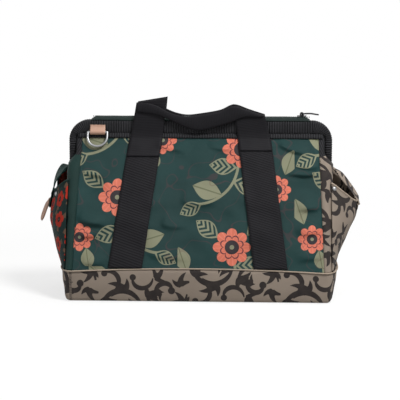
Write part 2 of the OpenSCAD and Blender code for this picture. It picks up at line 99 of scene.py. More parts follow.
# The nodes of a material or a world under construction
class Kit:
    def __init__(self, owner, output):
        owner.use_nodes = True
        self.tree = owner.node_tree
        self.tree.nodes.clear()
        self.out = self.tree.nodes.new("ShaderNodeOutput" + output)

    # A link, or a constant: a colour is a hex code or three numbers
    def link(self, socket, value):
        if isinstance(value, Value):
            self.tree.links.new(value.socket, socket)
            return
        if isinstance(value, str):
            value = fromHex(value)
        socket.default_value = (*value, 1.0) if socket.type == "RGBA" else value

    # Any node: its type, its settings, then the values or links of its sockets
    def node(self, kind, settings=None, sockets=None, out=0):
        made = self.tree.nodes.new("ShaderNode" + kind)
        for key, setting in (settings or {}).items():
            setattr(made, key, setting)
        for key, value in (sockets or {}).items():
            self.link(made.inputs[key], value)
        return Value(self, made.outputs[out])

    # Another output of the node that a value comes from
    def also(self, value, out):
        return Value(self, value.socket.node.outputs[out])

    def math(self, operation, a, b=0.0):
        return self.node("Math", {"operation": operation}, {0: a, 1: b})

    def sin(self, a):
        return self.math("SINE", a)

    def cos(self, a):
        return self.math("COSINE", a)

    def floor(self, a):
        return self.math("FLOOR", a)

    def least(self, a, b):
        return self.math("MINIMUM", a, b)

    def most(self, a, b):
        return self.math("MAXIMUM", a, b)

    def smooth(self, value, low, high):
        return self.node("MapRange", {"interpolation_type": "SMOOTHSTEP"}, {0: value, 1: low, 2: high})

    def mix(self, share, a, b):
        return self.node("Mix", {"data_type": "RGBA"}, {0: share, 6: a, 7: b}, out=2)

    # Distance and direction from a centre
    def polar(self, u, v, centre=(0.0, 0.0)):
        du = u - centre[0]
        dv = v - centre[1]
        return self.math("SQRT", du * du + dv * dv), self.math("ARCTAN2", dv, du)

    # Flat coordinates of the cloth in millimetres, kept on the mesh
    def cloth(self):
        flat = self.node("Attribute", {"attribute_name": "cloth"}, out=1)
        u = self.node("SeparateXYZ", None, {0: flat})
        return u, self.also(u, 1)

    # Place on the piece in metres
    def place(self):
        return self.node("TexCoord", out=3)

    def noise(self, scale, detail=2.0):
        return self.node("TexNoise", None, {"Scale": scale, "Detail": detail, "Vector": self.place()})

    def bump(self, height, distance):
        return self.node("Bump", None, {"Height": height, "Distance": distance * mm})


# A material with one main shader
class Finish(Kit):
    def __init__(self, name):
        self.material = bpy.data.materials.new(name)
        super().__init__(self.material, "Material")
        self.shader = self.tree.nodes.new("ShaderNodeBsdfPrincipled")
        self.tree.links.new(self.shader.outputs[0], self.out.inputs[0])

    def finish(self, **values):
        for key, value in values.items():
            self.link(self.shader.inputs[key.replace("_", " ")], value)
        return self.material


def fromHex(code):
    parts = [int(code[i:i + 2], 16) / 255 for i in (1, 3, 5)]
    return tuple(p / 12.92 if p <= 0.04045 else ((p + 0.055) / 1.055) ** 2.4 for p in parts)


fullTurn = 2 * math.pi


# Share of a flower's radius at which its petals end, for an angle
def petalEdge(f, angle, petals, depth):
    wave = abs(f.cos(angle * (petals / 2)))
    return (1 - depth) + depth * (wave ** 0.6)


# Almond leaf from a foot, along a direction: its mask, places along and off its rib, and where its edge lies
def leafMask(f, u, v, foot, turn, length, width):
    c, s = math.cos(turn), math.sin(turn)
    du = u - foot[0]
    dv = v - foot[1]
    along = (du * c + dv * s) / length
    across = abs((dv * c - du * s) / width)
    edge = f.sin(f.least(f.most(along, 0.0), 1.0) * math.pi) * 0.5
    return (along > 0.0) * (along < 1.0) * (across < edge), along, across, edge


def weaveBump(f, u, v, pitch, lean, depth):
    twist = f.sin((u + v * lean) * (fullTurn / pitch))
    cross = f.sin((v - u * 0.2) * (fullTurn / (pitch * 0.8)))
    grain = f.noise(900.0)
    return f.bump(twist * 0.6 + cross * 0.25 + grain * 0.5, depth)


# Dark green twill with a half-drop sprig: coral flowers, a curved stem and olive leaves
twill = {"ground": "#103736", "shade": "#072524", "blossom": "#cd6f58", "petalEdge": "#e28472",
         "eye": "#2b2528", "leaf": "#808169", "leafDark": "#62664e", "line": "#5c2f36", "rib": 1.1, "petals": 8,
         "pitchU": 172.0, "pitchV": 146.0, "shiftU": 30.0, "shiftV": 18.0, "stem": ((60.0, 10.0), 62.0, 2.0),
         "leaves": [((6.0, -18.0), 3.45, 46.0, 27.0, 1), ((22.0, -38.0), 0.3, 46.0, 28.0, 0),
                    ((0.0, 2.0), 0.1, 42.0, 25.0, 1), ((52.0, -51.0), 5.8, 36.0, 22.0, 1),
                    ((-50.0, -46.0), 4.9, 32.0, 20.0, 0), ((16.0, 48.0), 0.75, 40.0, 24.0, 0),
                    ((-26.0, 44.0), 2.5, 42.0, 25.0, 1), ((-72.0, -8.0), 1.9, 40.0, 23.0, 0)],
         "flowers": [((-6.0, 30.0), 28.0), ((-60.0, -30.0), 21.0)]}


def makePrintedTwill():
    f = Finish("printedTwill")
    u0, v0 = f.cloth()
    u = u0 + twill["shiftU"]
    column = f.floor(u / twill["pitchU"])
    drop = v0 + twill["shiftV"] + (column % 2.0) * (twill["pitchV"] / 2)
    row = f.floor(drop / twill["pitchV"])
    flip = 1 - ((column + row) % 2.0) * 2
    lu = (u - (column + 0.5) * twill["pitchU"]) * flip
    lv = drop - (row + 0.5) * twill["pitchV"]
    ground = f.mix(f.noise(9.0, 3.0), twill["shade"], twill["ground"])
    centre, radius, wide = twill["stem"]
    stem = (abs(f.polar(lu, lv, centre)[0] - radius) < wide) * (lv < centre[1]) * (lu < centre[0])
    paint = f.mix(stem, ground, twill["leaf"])
    for foot, turn, length, width, outlined in twill["leaves"]:
        mask, along, across, edge = leafMask(f, lu, lv, foot, turn, length, width)
        if outlined:
            vein = f.sin((along * 5.0 - across * 3.0) * fullTurn) > 0.0
            paint = f.mix(mask, paint, f.mix(vein, ground, twill["leaf"]))
            paint = f.mix(mask * (across > edge - 0.07), paint, twill["leaf"])
        else:
            paint = f.mix(mask, paint, twill["leaf"])
            paint = f.mix(mask * (across < 0.035), paint, twill["leafDark"])
    # two rings of round petals, a dark eye and an olive dot
    petals = twill["petals"]
    for centre, radius in twill["flowers"]:
        reach, angle = f.polar(lu, lv, centre)
        reach = reach / radius
        inner = petalEdge(f, angle + math.pi / petals, petals, 0.3) * 0.66
        vein = f.smooth(f.sin(angle * (3 * petals)), 0.3, 1.0) * 0.45
        petal = f.mix(vein, twill["blossom"], twill["petalEdge"])
        paint = f.mix(reach < petalEdge(f, angle, petals, 0.32), paint, petal)
        paint = f.mix((reach < inner) * (reach > inner - 0.07), paint, twill["line"])
        paint = f.mix(reach < 0.38, paint, twill["eye"])
        paint = f.mix(reach < 0.12, paint, twill["leaf"])
    # faint maroon line drawing behind
    drawn = (abs(f.noise(22.0, 1.0) - 0.5) < 0.006) * 0.45
    paint = f.mix(drawn * (1 - stem), paint, f.mix(0.5, paint, twill["line"]))
    return f.finish(Base_Color=paint, Roughness=0.52 + f.noise(40.0) * 0.12, Specular_IOR_Level=0.2,
                    Normal=weaveBump(f, u0, v0, twill["rib"], 0.8, 0.12))


# Taupe furnishing cloth with a dark scroll of stems and leaves
scroll = {"ground": "#978a7d", "shade": "#807469", "ink": "#181315", "tileU": 112.0, "tileV": 84.0,
          "grow": 1.2, "shiftU": 10.0, "shiftV": 6.0, "weave": 1.3,
          "stems": [((-28.0, 12.0), 25.0, 1, 186, 168, 3.6, 0.0), ((28.0, -12.0), 25.0, 1, 6, 168, 3.6, 0.0),
                    ((-28.0, 13.0), 15.0, 1, 320, 215, 3.4, 0.6), ((28.0, -13.0), 15.0, 1, 140, 215, 3.4, 0.6),
                    ((-44.0, -26.0), 15.0, -1, 70, 190, 3.0, 0.35),
                    ((44.0, 26.0), 15.0, -1, 250, 190, 3.0, 0.35),
                    ((4.0, 29.0), 15.0, 1, 180, 185, 3.0, 0.35), ((-4.0, -29.0), 15.0, 1, 0, 185, 3.0, 0.35)],
          "leaves": [((-24.0, -11.0), 4.5, 23.4, 0.9), ((24.0, 11.0), 1.36, 23.4, 0.9),
                     ((-5.0, 4.0), 2.0, 21.6, -0.8), ((5.0, -4.0), 5.1, 21.6, -0.8),
                     ((-47.0, -4.0), 1.75, 18.9, 0.7), ((47.0, 4.0), 4.9, 18.9, 0.7),
                     ((-46.0, 19.0), 1.1, 18.9, -0.8), ((46.0, -19.0), 4.24, 18.9, -0.8),
                     ((-13.0, 29.0), 2.85, 18.0, 0.7), ((13.0, -29.0), 5.99, 18.0, 0.7),
                     ((-22.0, 10.0), 0.2, 13.5, 0.8), ((22.0, -10.0), 3.34, 13.5, 0.8)]}


# Stem: part of a ring that tapers at both ends and may wind in to a bud
def scrollArc(f, u, v, centre, radius, hand, start, sweep, wide, wind):
    begin, turn = math.radians(start), math.radians(sweep)
    reach, angle = f.polar(u, v, centre)
    share = (((angle - begin) * hand) % fullTurn) / turn
    away = reach - (1 - share * wind) * radius
    swell = f.sin(f.least(share, 1.0) * math.pi) * 0.75 + 0.25
    ink = (share < 1.0) * (abs(away) < swell * wide)
    if wind > 0:
        end, short = begin + hand * turn, radius * (1 - wind)
        bud = (centre[0] + short * math.cos(end), centre[1] + short * math.sin(end))
        ink = f.most(ink, f.polar(u, v, bud)[0] < wide * 1.3)
    return ink


# Leaf of pointed fingers that swirls, along a direction
def lobedLeaf(f, u, v, foot, turn, length, bend):
    du = u - foot[0]
    dv = v - foot[1]
    along = du * math.cos(turn) + dv * math.sin(turn)
    across = dv * math.cos(turn) - du * math.sin(turn)
    reach, angle = f.polar(along, across)
    angle = angle + reach * (bend / length)
    fingers = 1 - abs(f.sin(angle * 3.0)) * 0.55
    edge = (f.most(f.cos(angle * 0.8), 0.0) ** 0.7) * fingers
    return reach < edge * length


def makeScrollCloth():
    f = Finish("scrollCloth")
    u0, v0 = f.cloth()
    u = u0 / scroll["grow"] + scroll["shiftU"]
    v = v0 / scroll["grow"] + scroll["shiftV"]
    tileU, tileV = scroll["tileU"], scroll["tileV"]
    column = f.floor(u / tileU)
    odd = column % 2.0
    lu = (u - (column + 0.5) * tileU) * (1 - odd * 2)
    lv = (v + odd * (tileV * 0.42)) % tileV - tileV / 2
    ground = f.mix(f.noise(14.0, 3.0), scroll["shade"], scroll["ground"])
    marks = [scrollArc(f, lu, lv, *stem) for stem in scroll["stems"]]
    marks += [lobedLeaf(f, lu, lv, *leaf) for leaf in scroll["leaves"]]
    ink = marks[0]
    for mark in marks[1:]:
        ink = f.most(ink, mark)
    paint = f.mix(ink * (0.88 + f.noise(120.0) * 0.12), ground, scroll["ink"])
    return f.finish(Base_Color=paint, Roughness=0.78, Specular_IOR_Level=0.25,
                    Normal=weaveBump(f, u0, v0, scroll["weave"], 0.0, 0.16))


# Small red flowers strewn on dark green
blossoms = {"ground": "#0f1a18", "petal": "#a92d1e", "eye": "#30090f", "leaf": "#5d4739", "cell": 33.0}


def makeBlossomCloth():
    f = Finish("blossomCloth")
    u, v = f.cloth()
    where = f.node("CombineXYZ", None, {0: u / blossoms["cell"], 1: v / blossoms["cell"]})
    cells = f.node("TexVoronoi", {"voronoi_dimensions": "2D"},
                   {"Vector": where, "Scale": 1.0, "Randomness": 0.55})
    off = f.node("VectorMath", {"operation": "SUBTRACT"}, {0: where, 1: f.also(cells, "Position")})
    du = f.node("SeparateXYZ", None, {0: off})
    reach, angle = f.polar(du, f.also(du, 1))
    reach = reach * 2.7
    paint = f.mix(f.noise(12.0), blossoms["ground"], twill["shade"])
    leaf = f.smooth(f.sin(angle * 3.0 + 0.8), 0.72, 0.8) * (reach < 1.5)
    paint = f.mix(leaf, paint, blossoms["leaf"])
    paint = f.mix(reach < petalEdge(f, angle, 5, 0.3), paint, blossoms["petal"])
    paint = f.mix(reach < 0.34, paint, blossoms["eye"])
    paint = f.mix(reach < 0.13, paint, blossoms["leaf"])
    return f.finish(Base_Color=paint, Roughness=0.7, Specular_IOR_Level=0.15,
                    Normal=weaveBump(f, u, v, twill["rib"], 0.8, 0.12))


def makePlainCloth(name, base, shade):
    f = Finish(name)
    u, v = f.cloth()
    return f.finish(Base_Color=f.mix(f.noise(30.0, 3.0), shade, base), Roughness=0.62, Specular_IOR_Level=0.18,
                    Normal=weaveBump(f, u, v, 1.0, 0.7, 0.12))


# Black webbing: slanting ridges, smoother where it is a handle
webbing = {"base": "#0a090c", "ridge": "#1f1e22", "pitch": 3.9, "warp": 1.6}


def makeWebbing(name, lean, depth, show):
    f = Finish(name)
    u, v = f.cloth()
    ridge = f.sin((v + u * lean) * (fullTurn / webbing["pitch"]))
    warp = f.sin(u * (fullTurn / webbing["warp"]))
    share = f.smooth(ridge, -0.4, 1.0) * show + f.noise(60.0) * 0.3 + (0.2 - show * 0.4)
    return f.finish(Base_Color=f.mix(share, webbing["base"], webbing["ridge"]), Roughness=0.7,
                    Specular_IOR_Level=0.15, Normal=f.bump(ridge + warp * 0.3, depth))


sleeveCloth = {"base": "#19191b", "ridge": "#333336", "pitch": 3.8, "thread": 1.2}


def makeSleeveCloth():
    f = Finish("sleeveCloth")
    u, v = f.cloth()
    ridge = f.sin(u * (fullTurn / sleeveCloth["pitch"]))
    thread = f.sin(v * (fullTurn / sleeveCloth["thread"]))
    paint = f.mix(f.smooth(ridge, -0.5, 1.0) * 0.8, sleeveCloth["base"], sleeveCloth["ridge"])
    return f.finish(Base_Color=paint, Roughness=0.75, Specular_IOR_Level=0.15,
                    Normal=f.bump(ridge + thread * 0.15, 0.3))


def makeLeather():
    f = Finish("tabLeather")
    grain = f.node("TexVoronoi", None, {"Scale": 900.0, "Vector": f.place()})
    stain = f.noise(60.0, 4.0)
    return f.finish(Base_Color=f.mix(stain, "#a67e68", "#bb9784"), Roughness=0.5 + stain * 0.15,
                    Normal=f.bump(grain, 0.12))


def makeMetal(name, code, rough, metallic=1.0):
    f = Finish(name)
    smear = f.noise(150.0, 3.0)
    paint = f.mix(smear, code, tuple(c * 0.82 for c in fromHex(code)))
    return f.finish(Base_Color=paint, Metallic=metallic, Roughness=rough + smear * 0.12)


def makeBoard():
    f = Finish("boardFibre")
    fleck = f.noise(500.0, 4.0)
    return f.finish(Base_Color=f.mix(fleck, "#5e5750", "#7d746a"), Roughness=0.85, Normal=f.bump(fleck, 0.1))


finishes = {
    "printed_twill": makePrintedTwill(), "scroll_cloth": makeScrollCloth(), "blossom_cloth": makeBlossomCloth(),
    "green_cloth": makePlainCloth("greenCloth", "#15332f", "#0d2421"),
    "zip_tape": makePlainCloth("zipTape", "#14221f", "#0f1a18"),
    "lining_cloth": makePlainCloth("liningCloth", "#c8503c", "#b14433"),
    "piping": makePlainCloth("pipingCloth", "#b3a392", "#9a8b7c"),
    "webbing": makeWebbing("webbingRidged", 0.34, 0.2, 0.42),
    "handle": makeWebbing("webbingSmooth", 0.1, 0.06, 0.12),
    "ribbed_cloth": makeSleeveCloth(), "tab_leather": makeLeather(), "board": makeBoard(),
    "nickel": makeMetal("nickel", "#98999a", 0.3), "zip_teeth": makeMetal("zipTeeth", "#1d2124", 0.4, 0.2),
    "zip_metal": makeMetal("blackEnamel", "#1b1b1e", 0.35, 0.6),
    "dark_steel": makeMetal("blackSteel", "#2a2a2d", 0.4, 0.7)}
print("finishes made:", len(finishes))


# Mesh building, in millimetres
def makePiece(name, points, faces, coords, finish, smooth=True):
    mesh = bpy.data.meshes.new(name)
    mesh.from_pydata([(x * mm, y * mm, z * mm) for x, y, z in points], [], faces)
    place = mesh.attributes.new("cloth", "FLOAT_VECTOR", "POINT")
    place.data.foreach_set("vector", [n for c in coords for n in (c[0], c[1], 0.0)])
    mesh.polygons.foreach_set("use_smooth", [smooth] * len(mesh.polygons))
    mesh.materials.append(finish)
    mesh.update()
    piece = bpy.data.objects.new(name, mesh)
    bpy.context.scene.collection.objects.link(piece)
    return piece


def lerp(a, b, t):
    return a + (b - a) * t


def clamp(t):
    return max(0.0, min(1.0, t))


def smooth(t):
    t = clamp(t)
    return t * t * (3 - 2 * t)


# Outward normals of a grid whose columns run right and rows run up, seen from outside
def gridNormals(grid, wrap=False):
    rows, cols = len(grid), len(grid[0])
    normals = []
    for i in range(rows):
        line = []
        for j in range(cols):
            left = grid[i][j - 1] if j > 0 or wrap else grid[i][j]
            right = grid[i][(j + 1) % cols] if j < cols - 1 or wrap else grid[i][j]
            low = grid[max(0, i - 1)][j]
            high = grid[min(rows - 1, i + 1)][j]
            n = (right - left).cross(high - low)
            line.append(n.normalized() if n.length > 1e-9 else Vector((0, 0, 1)))
        normals.append(line)
    return normals


# Cloth of a real thickness from a grid of outside points, closed all round, with flat coordinates
def clothSlab(grid, coords, thick, wrap=False, cap=False):
    rows, cols = len(grid), len(grid[0])
    normals = gridNormals(grid, wrap)
    outer = [p for line in grid for p in line]
    inner = [grid[i][j] - normals[i][j] * thick for i in range(rows) for j in range(cols)]
    half = rows * cols
    faces = []
    span = cols if wrap else cols - 1
    for i in range(rows - 1):
        for j in range(span):
            a, b = i * cols + j, i * cols + (j + 1) % cols
            faces.append((a, b, b + cols, a + cols))
            faces.append((half + a, half + a + cols, half + b + cols, half + b))
    top = (rows - 1) * cols
    for j in range(span):
        k = (j + 1) % cols
        if not cap:
            faces.append((j, half + j, half + k, k))
        faces.append((top + j, top + k, half + top + k, half + top + j))
    if cap:
        faces.append(tuple(reversed(range(cols))))
        faces.append(tuple(range(half, half + cols)))
    if not wrap:
        for i in range(rows - 1):
            a, b = i * cols, i * cols + cols - 1
            faces.append((a, a + cols, half + a + cols, half + a))
            faces.append((b, half + b, half + b + cols, b + cols))
    flat = [c for line in coords for c in line]
    return outer + inner, faces, flat + flat


def makeCloth(name, grid, coords, thick, finish, wrap=False, cap=False,
              inside=None):
    points, faces, flat = clothSlab(grid, coords, thick, wrap, cap)
    piece = makePiece(name, points, faces, flat, finish)
    if inside:
        piece.data.materials.append(inside)
        for face in piece.data.polygons:
            face.material_index = int(min(face.vertices) >= len(points) // 2)
    declareSheet(grid, wrap)
    return piece


# Running length along a line of points
def runAlong(points):
    run = [0.0]
    for a, b in zip(points, points[1:]):
        run.append(run[-1] + (b - a).length)
    return run


# Works out how large the cloth was cut: its longest row and column, and its area; nothing keeps these values
def declareSheet(grid, wrap):
    rows, cols = len(grid), len(grid[0])
    width = max(runAlong(line + line[:1] if wrap else line)[-1] for line in grid) * mm
    length = max(runAlong(column)[-1] for column in zip(*grid)) * mm
    area = 0.0
    for i in range(rows - 1):
        for j in range(cols if wrap else cols - 1):
            k = (j + 1) % cols
            a, b, c, d = grid[i][j], grid[i][k], grid[i + 1][k], grid[i + 1][j]
            area += ((b - a).cross(c - a).length + (c - a).cross(d - a).length) / 2
    area = max(0.31 * width * length, min(area * mm * mm, width * length))


def dress(piece, body, nodes=()):
    if nodes:
        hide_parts(*nodes)
    if body:
        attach(piece, body)
    return piece


# Grid of points from places up and across, each from 0 to 1
def makeGrid(rows, cols, point, flip=False):
    grid = [[point(i / rows, j / cols) for j in range(cols + 1)] for i in range(rows + 1)]
    return flipped(grid) if flip else grid


def flipped(grid):
    return [line[::-1] for line in grid]


# Flat coordinates of a band: across it, and along its middle
def flatCoords(grid, wide):
    cols = len(grid[0]) - 1
    run = runAlong([line[len(line) // 2] for line in grid])
    return [[(lerp(-wide, wide, j / cols), r) for j in range(cols + 1)] for r in run]


# Faces of a run of rings, closed at its two ends unless it joins up
def ringFaces(rings, sides, base=0, closed=False, flip=False):
    faces = []
    for i in range(rings if closed else rings - 1):
        a, b = base + i * sides, base + (i + 1) % rings * sides
        for k in range(sides):
            m = (k + 1) % sides
            faces.append((a + k, a + m, b + m, b + k))
    if not closed:
        last = base + (rings - 1) * sides
        faces.append(tuple(range(base + sides - 1, base - 1, -1)))
        faces.append(tuple(range(last, last + sides)))
    return flipped(faces) if flip else faces


turnOf = {"front": -1, "back": 1, "rear": 1}
halfOf = {"front": "front", "back": "rear", "rear": "rear"}
sideName = {-1: "left", 1: "right"}


# The shell, as the frame has it: sizes in millimetres
def extent(node):
    low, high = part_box(node)
    return [v / mm for v in low], [v / mm for v in high]


bootHigh = extent("base_boot")[1]
panelHigh = extent("front_panel")[1]
shell = {"halfLength": bootHigh[0], "halfDepth": bootHigh[1], "bootHeight": 45.0, "bootArch": 5.0,
         "panelTop": panelHigh[2], "mouthHalf": 12.0, "bulge": 8.0, "panelTopHalf": 178.0, "cornerRun": 14.0,
         "neckHalf": 186.0, "neckLow": 110.0, "neckHigh": 166.0, "squareness": 4.0, "pivot": 186.0}


def riseAt(z):
    return clamp((z - shell["bootHeight"]) / (shell["panelTop"] - shell["bootHeight"]))


def depthAt(z):
    t = riseAt(z)
    return lerp(shell["halfDepth"], shell["mouthHalf"], t) + shell["bulge"] * math.sin(math.pi * t)


def lengthAt(z):
    t = smooth((z - shell["neckLow"]) / (shell["neckHigh"] - shell["neckLow"]))
    return lerp(shell["halfLength"], shell["neckHalf"], t)


def flatAt(z):
    return lerp(shell["halfLength"] - shell["cornerRun"], shell["panelTopHalf"], riseAt(z))


def endReach(y, z, length=lengthAt):
    q = clamp(abs(y) / max(1e-6, depthAt(z)))
    power = shell["squareness"]
    return flatAt(z) + (length(z) - flatAt(z)) * (1 - q ** power) ** (1 / power)


# The ends' cloth hangs over the pivots and tucks in above them to meet the sleeve
tuck = {"full": 201.0, "high": 188.4, "from": 198.0, "to": 212.0}


def gussetLength(z):
    return lerp(tuck["full"], tuck["high"], clamp((z - tuck["from"]) / (tuck["to"] - tuck["from"])))


def endPoint(angle, z, inset=0.0, length=lengthAt):
    share = 2 / shell["squareness"]
    c = abs(math.cos(angle)) ** share
    s = math.copysign(abs(math.sin(angle)) ** share, angle)
    return Vector((flatAt(z) + (length(z) - flatAt(z) - inset) * c, s * (depthAt(z) - inset), z))


def ripple(x, z, scale, seed):
    return noise.noise(Vector((x / scale, z / scale, seed)))


# Folds of the panels: from one end to the other, height and width of each, as seen from the front
folds = {"front": [(186, 200, 130, 193, 7.0, 7.0), (180, 188, 122, 183, 5.5, 6.0),
                   (114, 233, 174, 205, 6.5, 6.5), (180, 212, 158, 233, 4.0, 5.0),
                   (-184, 124, -130, 106, 6.5, 7.0), (-188, 102, -140, 91, 5.0, 7.0),
                   (-176, 62, -128, 50, 6.0, 6.5), (-68, 233, -14, 210, 4.0, 8.0),
                   (10, 231, 66, 213, 3.6, 8.0), (-78, 74, -10, 59, 3.6, 8.0),
                   (189, 114, 144, 93, 5.5, 8.0), (187, 144, 142, 131, 4.5, 7.5),
                   (187, 74, 142, 59, 5.0, 7.5), (-182, 192, -136, 175, 4.0, 7.0),
                   (-30, 150, 34, 138, 2.6, 9.0), (-58, 118, -8, 104, 2.6, 9.0),
                   (-190, 172, -132, 158, -4.5, 14.0), (192, 170, 140, 160, -3.5, 14.0),
                   (-190, 86, -130, 78, -3.5, 12.0), (-50, 196, 44, 188, -2.4, 16.0)],
         "back": [(-186, 208, -118, 196, 6.5, 7.0), (-189, 90, -126, 105, 5.5, 7.5),
                  (190, 82, 124, 97, 5.5, 7.5), (187, 206, 126, 192, 5.5, 7.0),
                  (-38, 229, 48, 217, 3.6, 8.0), (-64, 75, 34, 61, 3.6, 8.0)]}


# A fold rises gently from above and drops away steeply below, so that its foot lies in shade
def foldDepth(x, z, lines):
    total = 0.0
    for x0, z0, x1, z1, depth, width in lines:
        dx, dz = x1 - x0, z1 - z0
        t = ((x - x0) * dx + (z - z0) * dz) / (dx * dx + dz * dz)
        if t < 0.0 or t > 1.0:
            continue
        above = ((z - z0) * dx - (x - x0) * dz) / math.hypot(dx, dz) * (1 if dx > 0 else -1)
        above += 0.3 * width * math.sin(t * 6)
        away = above / (width * (1.6 if above > 0 else 0.6))
        total += 1.5 * depth * math.exp(-away * away) * smooth(t / 0.2) * smooth((1 - t) / 0.5)
    return total


# A point of a face at places across and up, pushed out by its folds and by two sizes of ripple
faceRipples = ((4.5, 1.6, 55.0, 3.0), (1.6, 1.0, 21.0, 8.0))


def footAt(s):
    return shell["bootHeight"] + shell["bootArch"] * (1 - s * s)


def facePoint(s, t, side, lift=0.0):
    z = lerp(footAt(s), shell["panelTop"], t)
    x = s * flatAt(z)
    calm = math.sin(math.pi * clamp(t)) ** 0.5 * (1 - abs(s) ** 12)
    push = foldDepth(x, z, folds[side])
    for height, stretch, scale, seed in faceRipples:
        push += height * ripple(x, z * stretch, scale, seed)
    return Vector((x, turnOf[side] * (depthAt(z) + calm * push + lift), z))


def bendTo(piece):
    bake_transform(piece)


panelSet = {"rows": 130, "cols": 160, "thick": 1.6, "top": 1.012, "stretch": 1.05}


def makePanel(side):
    right = -turnOf[side]
    grid = makeGrid(panelSet["rows"], panelSet["cols"],
                    lambda t, q: facePoint(lerp(-1, 1, q) * right, t * panelSet["top"], side))
    coords = [[(p.x * right, p.z * panelSet["stretch"]) for p in line] for line in grid]
    piece = makeCloth(side + "Panel", grid, coords, panelSet["thick"], finishes["printed_twill"],
                      inside=finishes["lining_cloth"])
    dress(piece, None, [side + "_panel"])
    bendTo(piece)


for side in ("front", "back"):
    makePanel(side)
print("panels made")


# Boot: one tub of scroll cloth, from the middle of the floor out and up to the seam
bootSet = {"thick": 2.0, "round": 5.0, "floorRings": 7, "roundRings": 4, "wallRings": 16, "faceCols": 120,
           "endCols": 44, "seamDrop": 0.4, "sag": 1.6, "pipe": 1.1, "flare": (8.0, 185.0, 14.0),
           "corner": (190.0, 26.0), "endFrom": 150.0, "outward": (200.0, 95.0)}


# A closed ring round the shell, anticlockwise from the front left, each point with its run along the cloth
def shellRing(height, inset=0.0):
    ring = []
    faceCols, endCols = bootSet["faceCols"], bootSet["endCols"]
    for turn in (1, -1):
        for i in range(faceCols):
            s = lerp(-1, 1, i / faceCols)
            z = height(s)
            ring.append(Vector((turn * s * flatAt(z), turn * (inset - depthAt(z)), z)))
        for i in range(endCols):
            angle = lerp(-math.pi / 2, math.pi / 2, i / endCols)
            z = height(1.0)
            p = endPoint(angle, z, inset)
            ring.append(Vector((turn * p.x, turn * p.y, z)))
    return ring


def seamHeight(s):
    return footAt(s) - bootSet["seamDrop"]


# Length along a ring from the middle of the front face
def ringRun(ring):
    run = runAlong(ring)
    middle = run[bootSet["faceCols"] // 2]
    return [r - middle for r in run]


# The boot's ends stand out at the seam, most in the middle of the end
def flareAt(p):
    most, start, run = bootSet["flare"]
    across = 1 - clamp(abs(p.y) / shell["halfDepth"]) ** 3
    out = most * clamp(p.z / shell["bootHeight"]) * across * smooth((abs(p.x) - start) / run)
    return Vector((math.copysign(out, p.x), 0, 0))


def makeBoot():
    r, floorRings, wallRings = bootSet["round"], bootSet["floorRings"], bootSet["wallRings"]
    low = shellRing(lambda s: 0.0, r)
    grid = []
    for i in range(floorRings):
        share = lerp(0.03, 1.0, i / (floorRings - 1))
        grid.append([Vector((p.x * share, p.y * share, 0.0)) for p in low])
    for i in range(1, bootSet["roundRings"] + 1):
        angle = i / bootSet["roundRings"] * math.pi / 2
        grid.append(shellRing(lambda s: r * (1 - math.cos(angle)), r * (1 - math.sin(angle))))
    for i in range(1, wallRings + 1):
        grid.append(shellRing(lambda s: lerp(r, seamHeight(s), i / wallRings)))
    run = ringRun(grid[-1])
    # the wall sags out a little and puckers near the corners
    cornerX, cornerWide = bootSet["corner"]
    outX, outY = bootSet["outward"]
    for i, line in enumerate(grid[floorRings + bootSet["roundRings"] - 1:]):
        belly = math.sin(math.pi * (i / wallRings)) ** 0.8
        for j, p in enumerate(line):
            corner = math.exp(-((abs(p.x) - cornerX) / cornerWide) ** 2)
            pucker = 1.1 * ripple(run[j], p.z * 1.4, 15.0, 5.0) * corner + 0.7 * ripple(run[j], p.z, 36.0, 2.0)
            push = belly * (bootSet["sag"] * (1 - 0.5 * corner) + pucker)
            out = Vector((p.x / outX if abs(p.x) > bootSet["endFrom"] else 0.0, p.y / outY, 0.0))
            line[j] = p + out.normalized() * push + flareAt(p)
    coords = [[(p.x, p.y) for p in line] for line in grid[:floorRings]]
    coords += [[(r, p.z) for r, p in zip(run, line)] for line in grid[floorRings:]]
    piece = makeCloth("baseBoot", grid, coords, bootSet["thick"], finishes["scroll_cloth"], wrap=True, cap=True)
    dress(piece, "bag", ["base_boot"])


# Round cord along a closed or open line of points
def makeTube(name, line, radius, finish, closed=False, sides=8):
    points, coords = [], []
    count = len(line)
    run = runAlong(line)
    for i, p in enumerate(line):
        before = line[i - 1] if i or closed else p
        after = line[(i + 1) % count] if i < count - 1 or closed else p
        along = (after - before).normalized()
        aside = along.cross(Vector((0, 0, 1)))
        aside = aside.normalized() if aside.length > 1e-4 else Vector((1, 0, 0))
        up = aside.cross(along)
        for k in range(sides):
            a = fullTurn * k / sides
            points.append(p + (aside * math.cos(a) + up * math.sin(a)) * radius)
            coords.append((run[i], radius * a))
    return makePiece(name, points, ringFaces(count, sides, 0, closed, True), coords, finish)


makeBoot()
seamLine = [p + Vector((0, 0, 0.2)) + flareAt(p) for p in shellRing(seamHeight, -0.9)]
piping = makeTube("bootPiping", seamLine, bootSet["pipe"], finishes["piping"], closed=True)
dress(piping, "bag")
print("boot made")


# Ends of the shell, each in a front and a rear half; on the bag the halves part as the mouth opens, but here
# they are built still
gussetSet = {"rows": 72, "cols": 34, "thick": 1.6, "top": 240.6, "lift": 0.2, "wrinkle": 1.8, "sink": 0.8,
             "dark": 212.0, "print": (224.0, 0.0), "stretch": 1.05,
             "finish": {-1: "green_cloth", 1: "scroll_cloth"}}


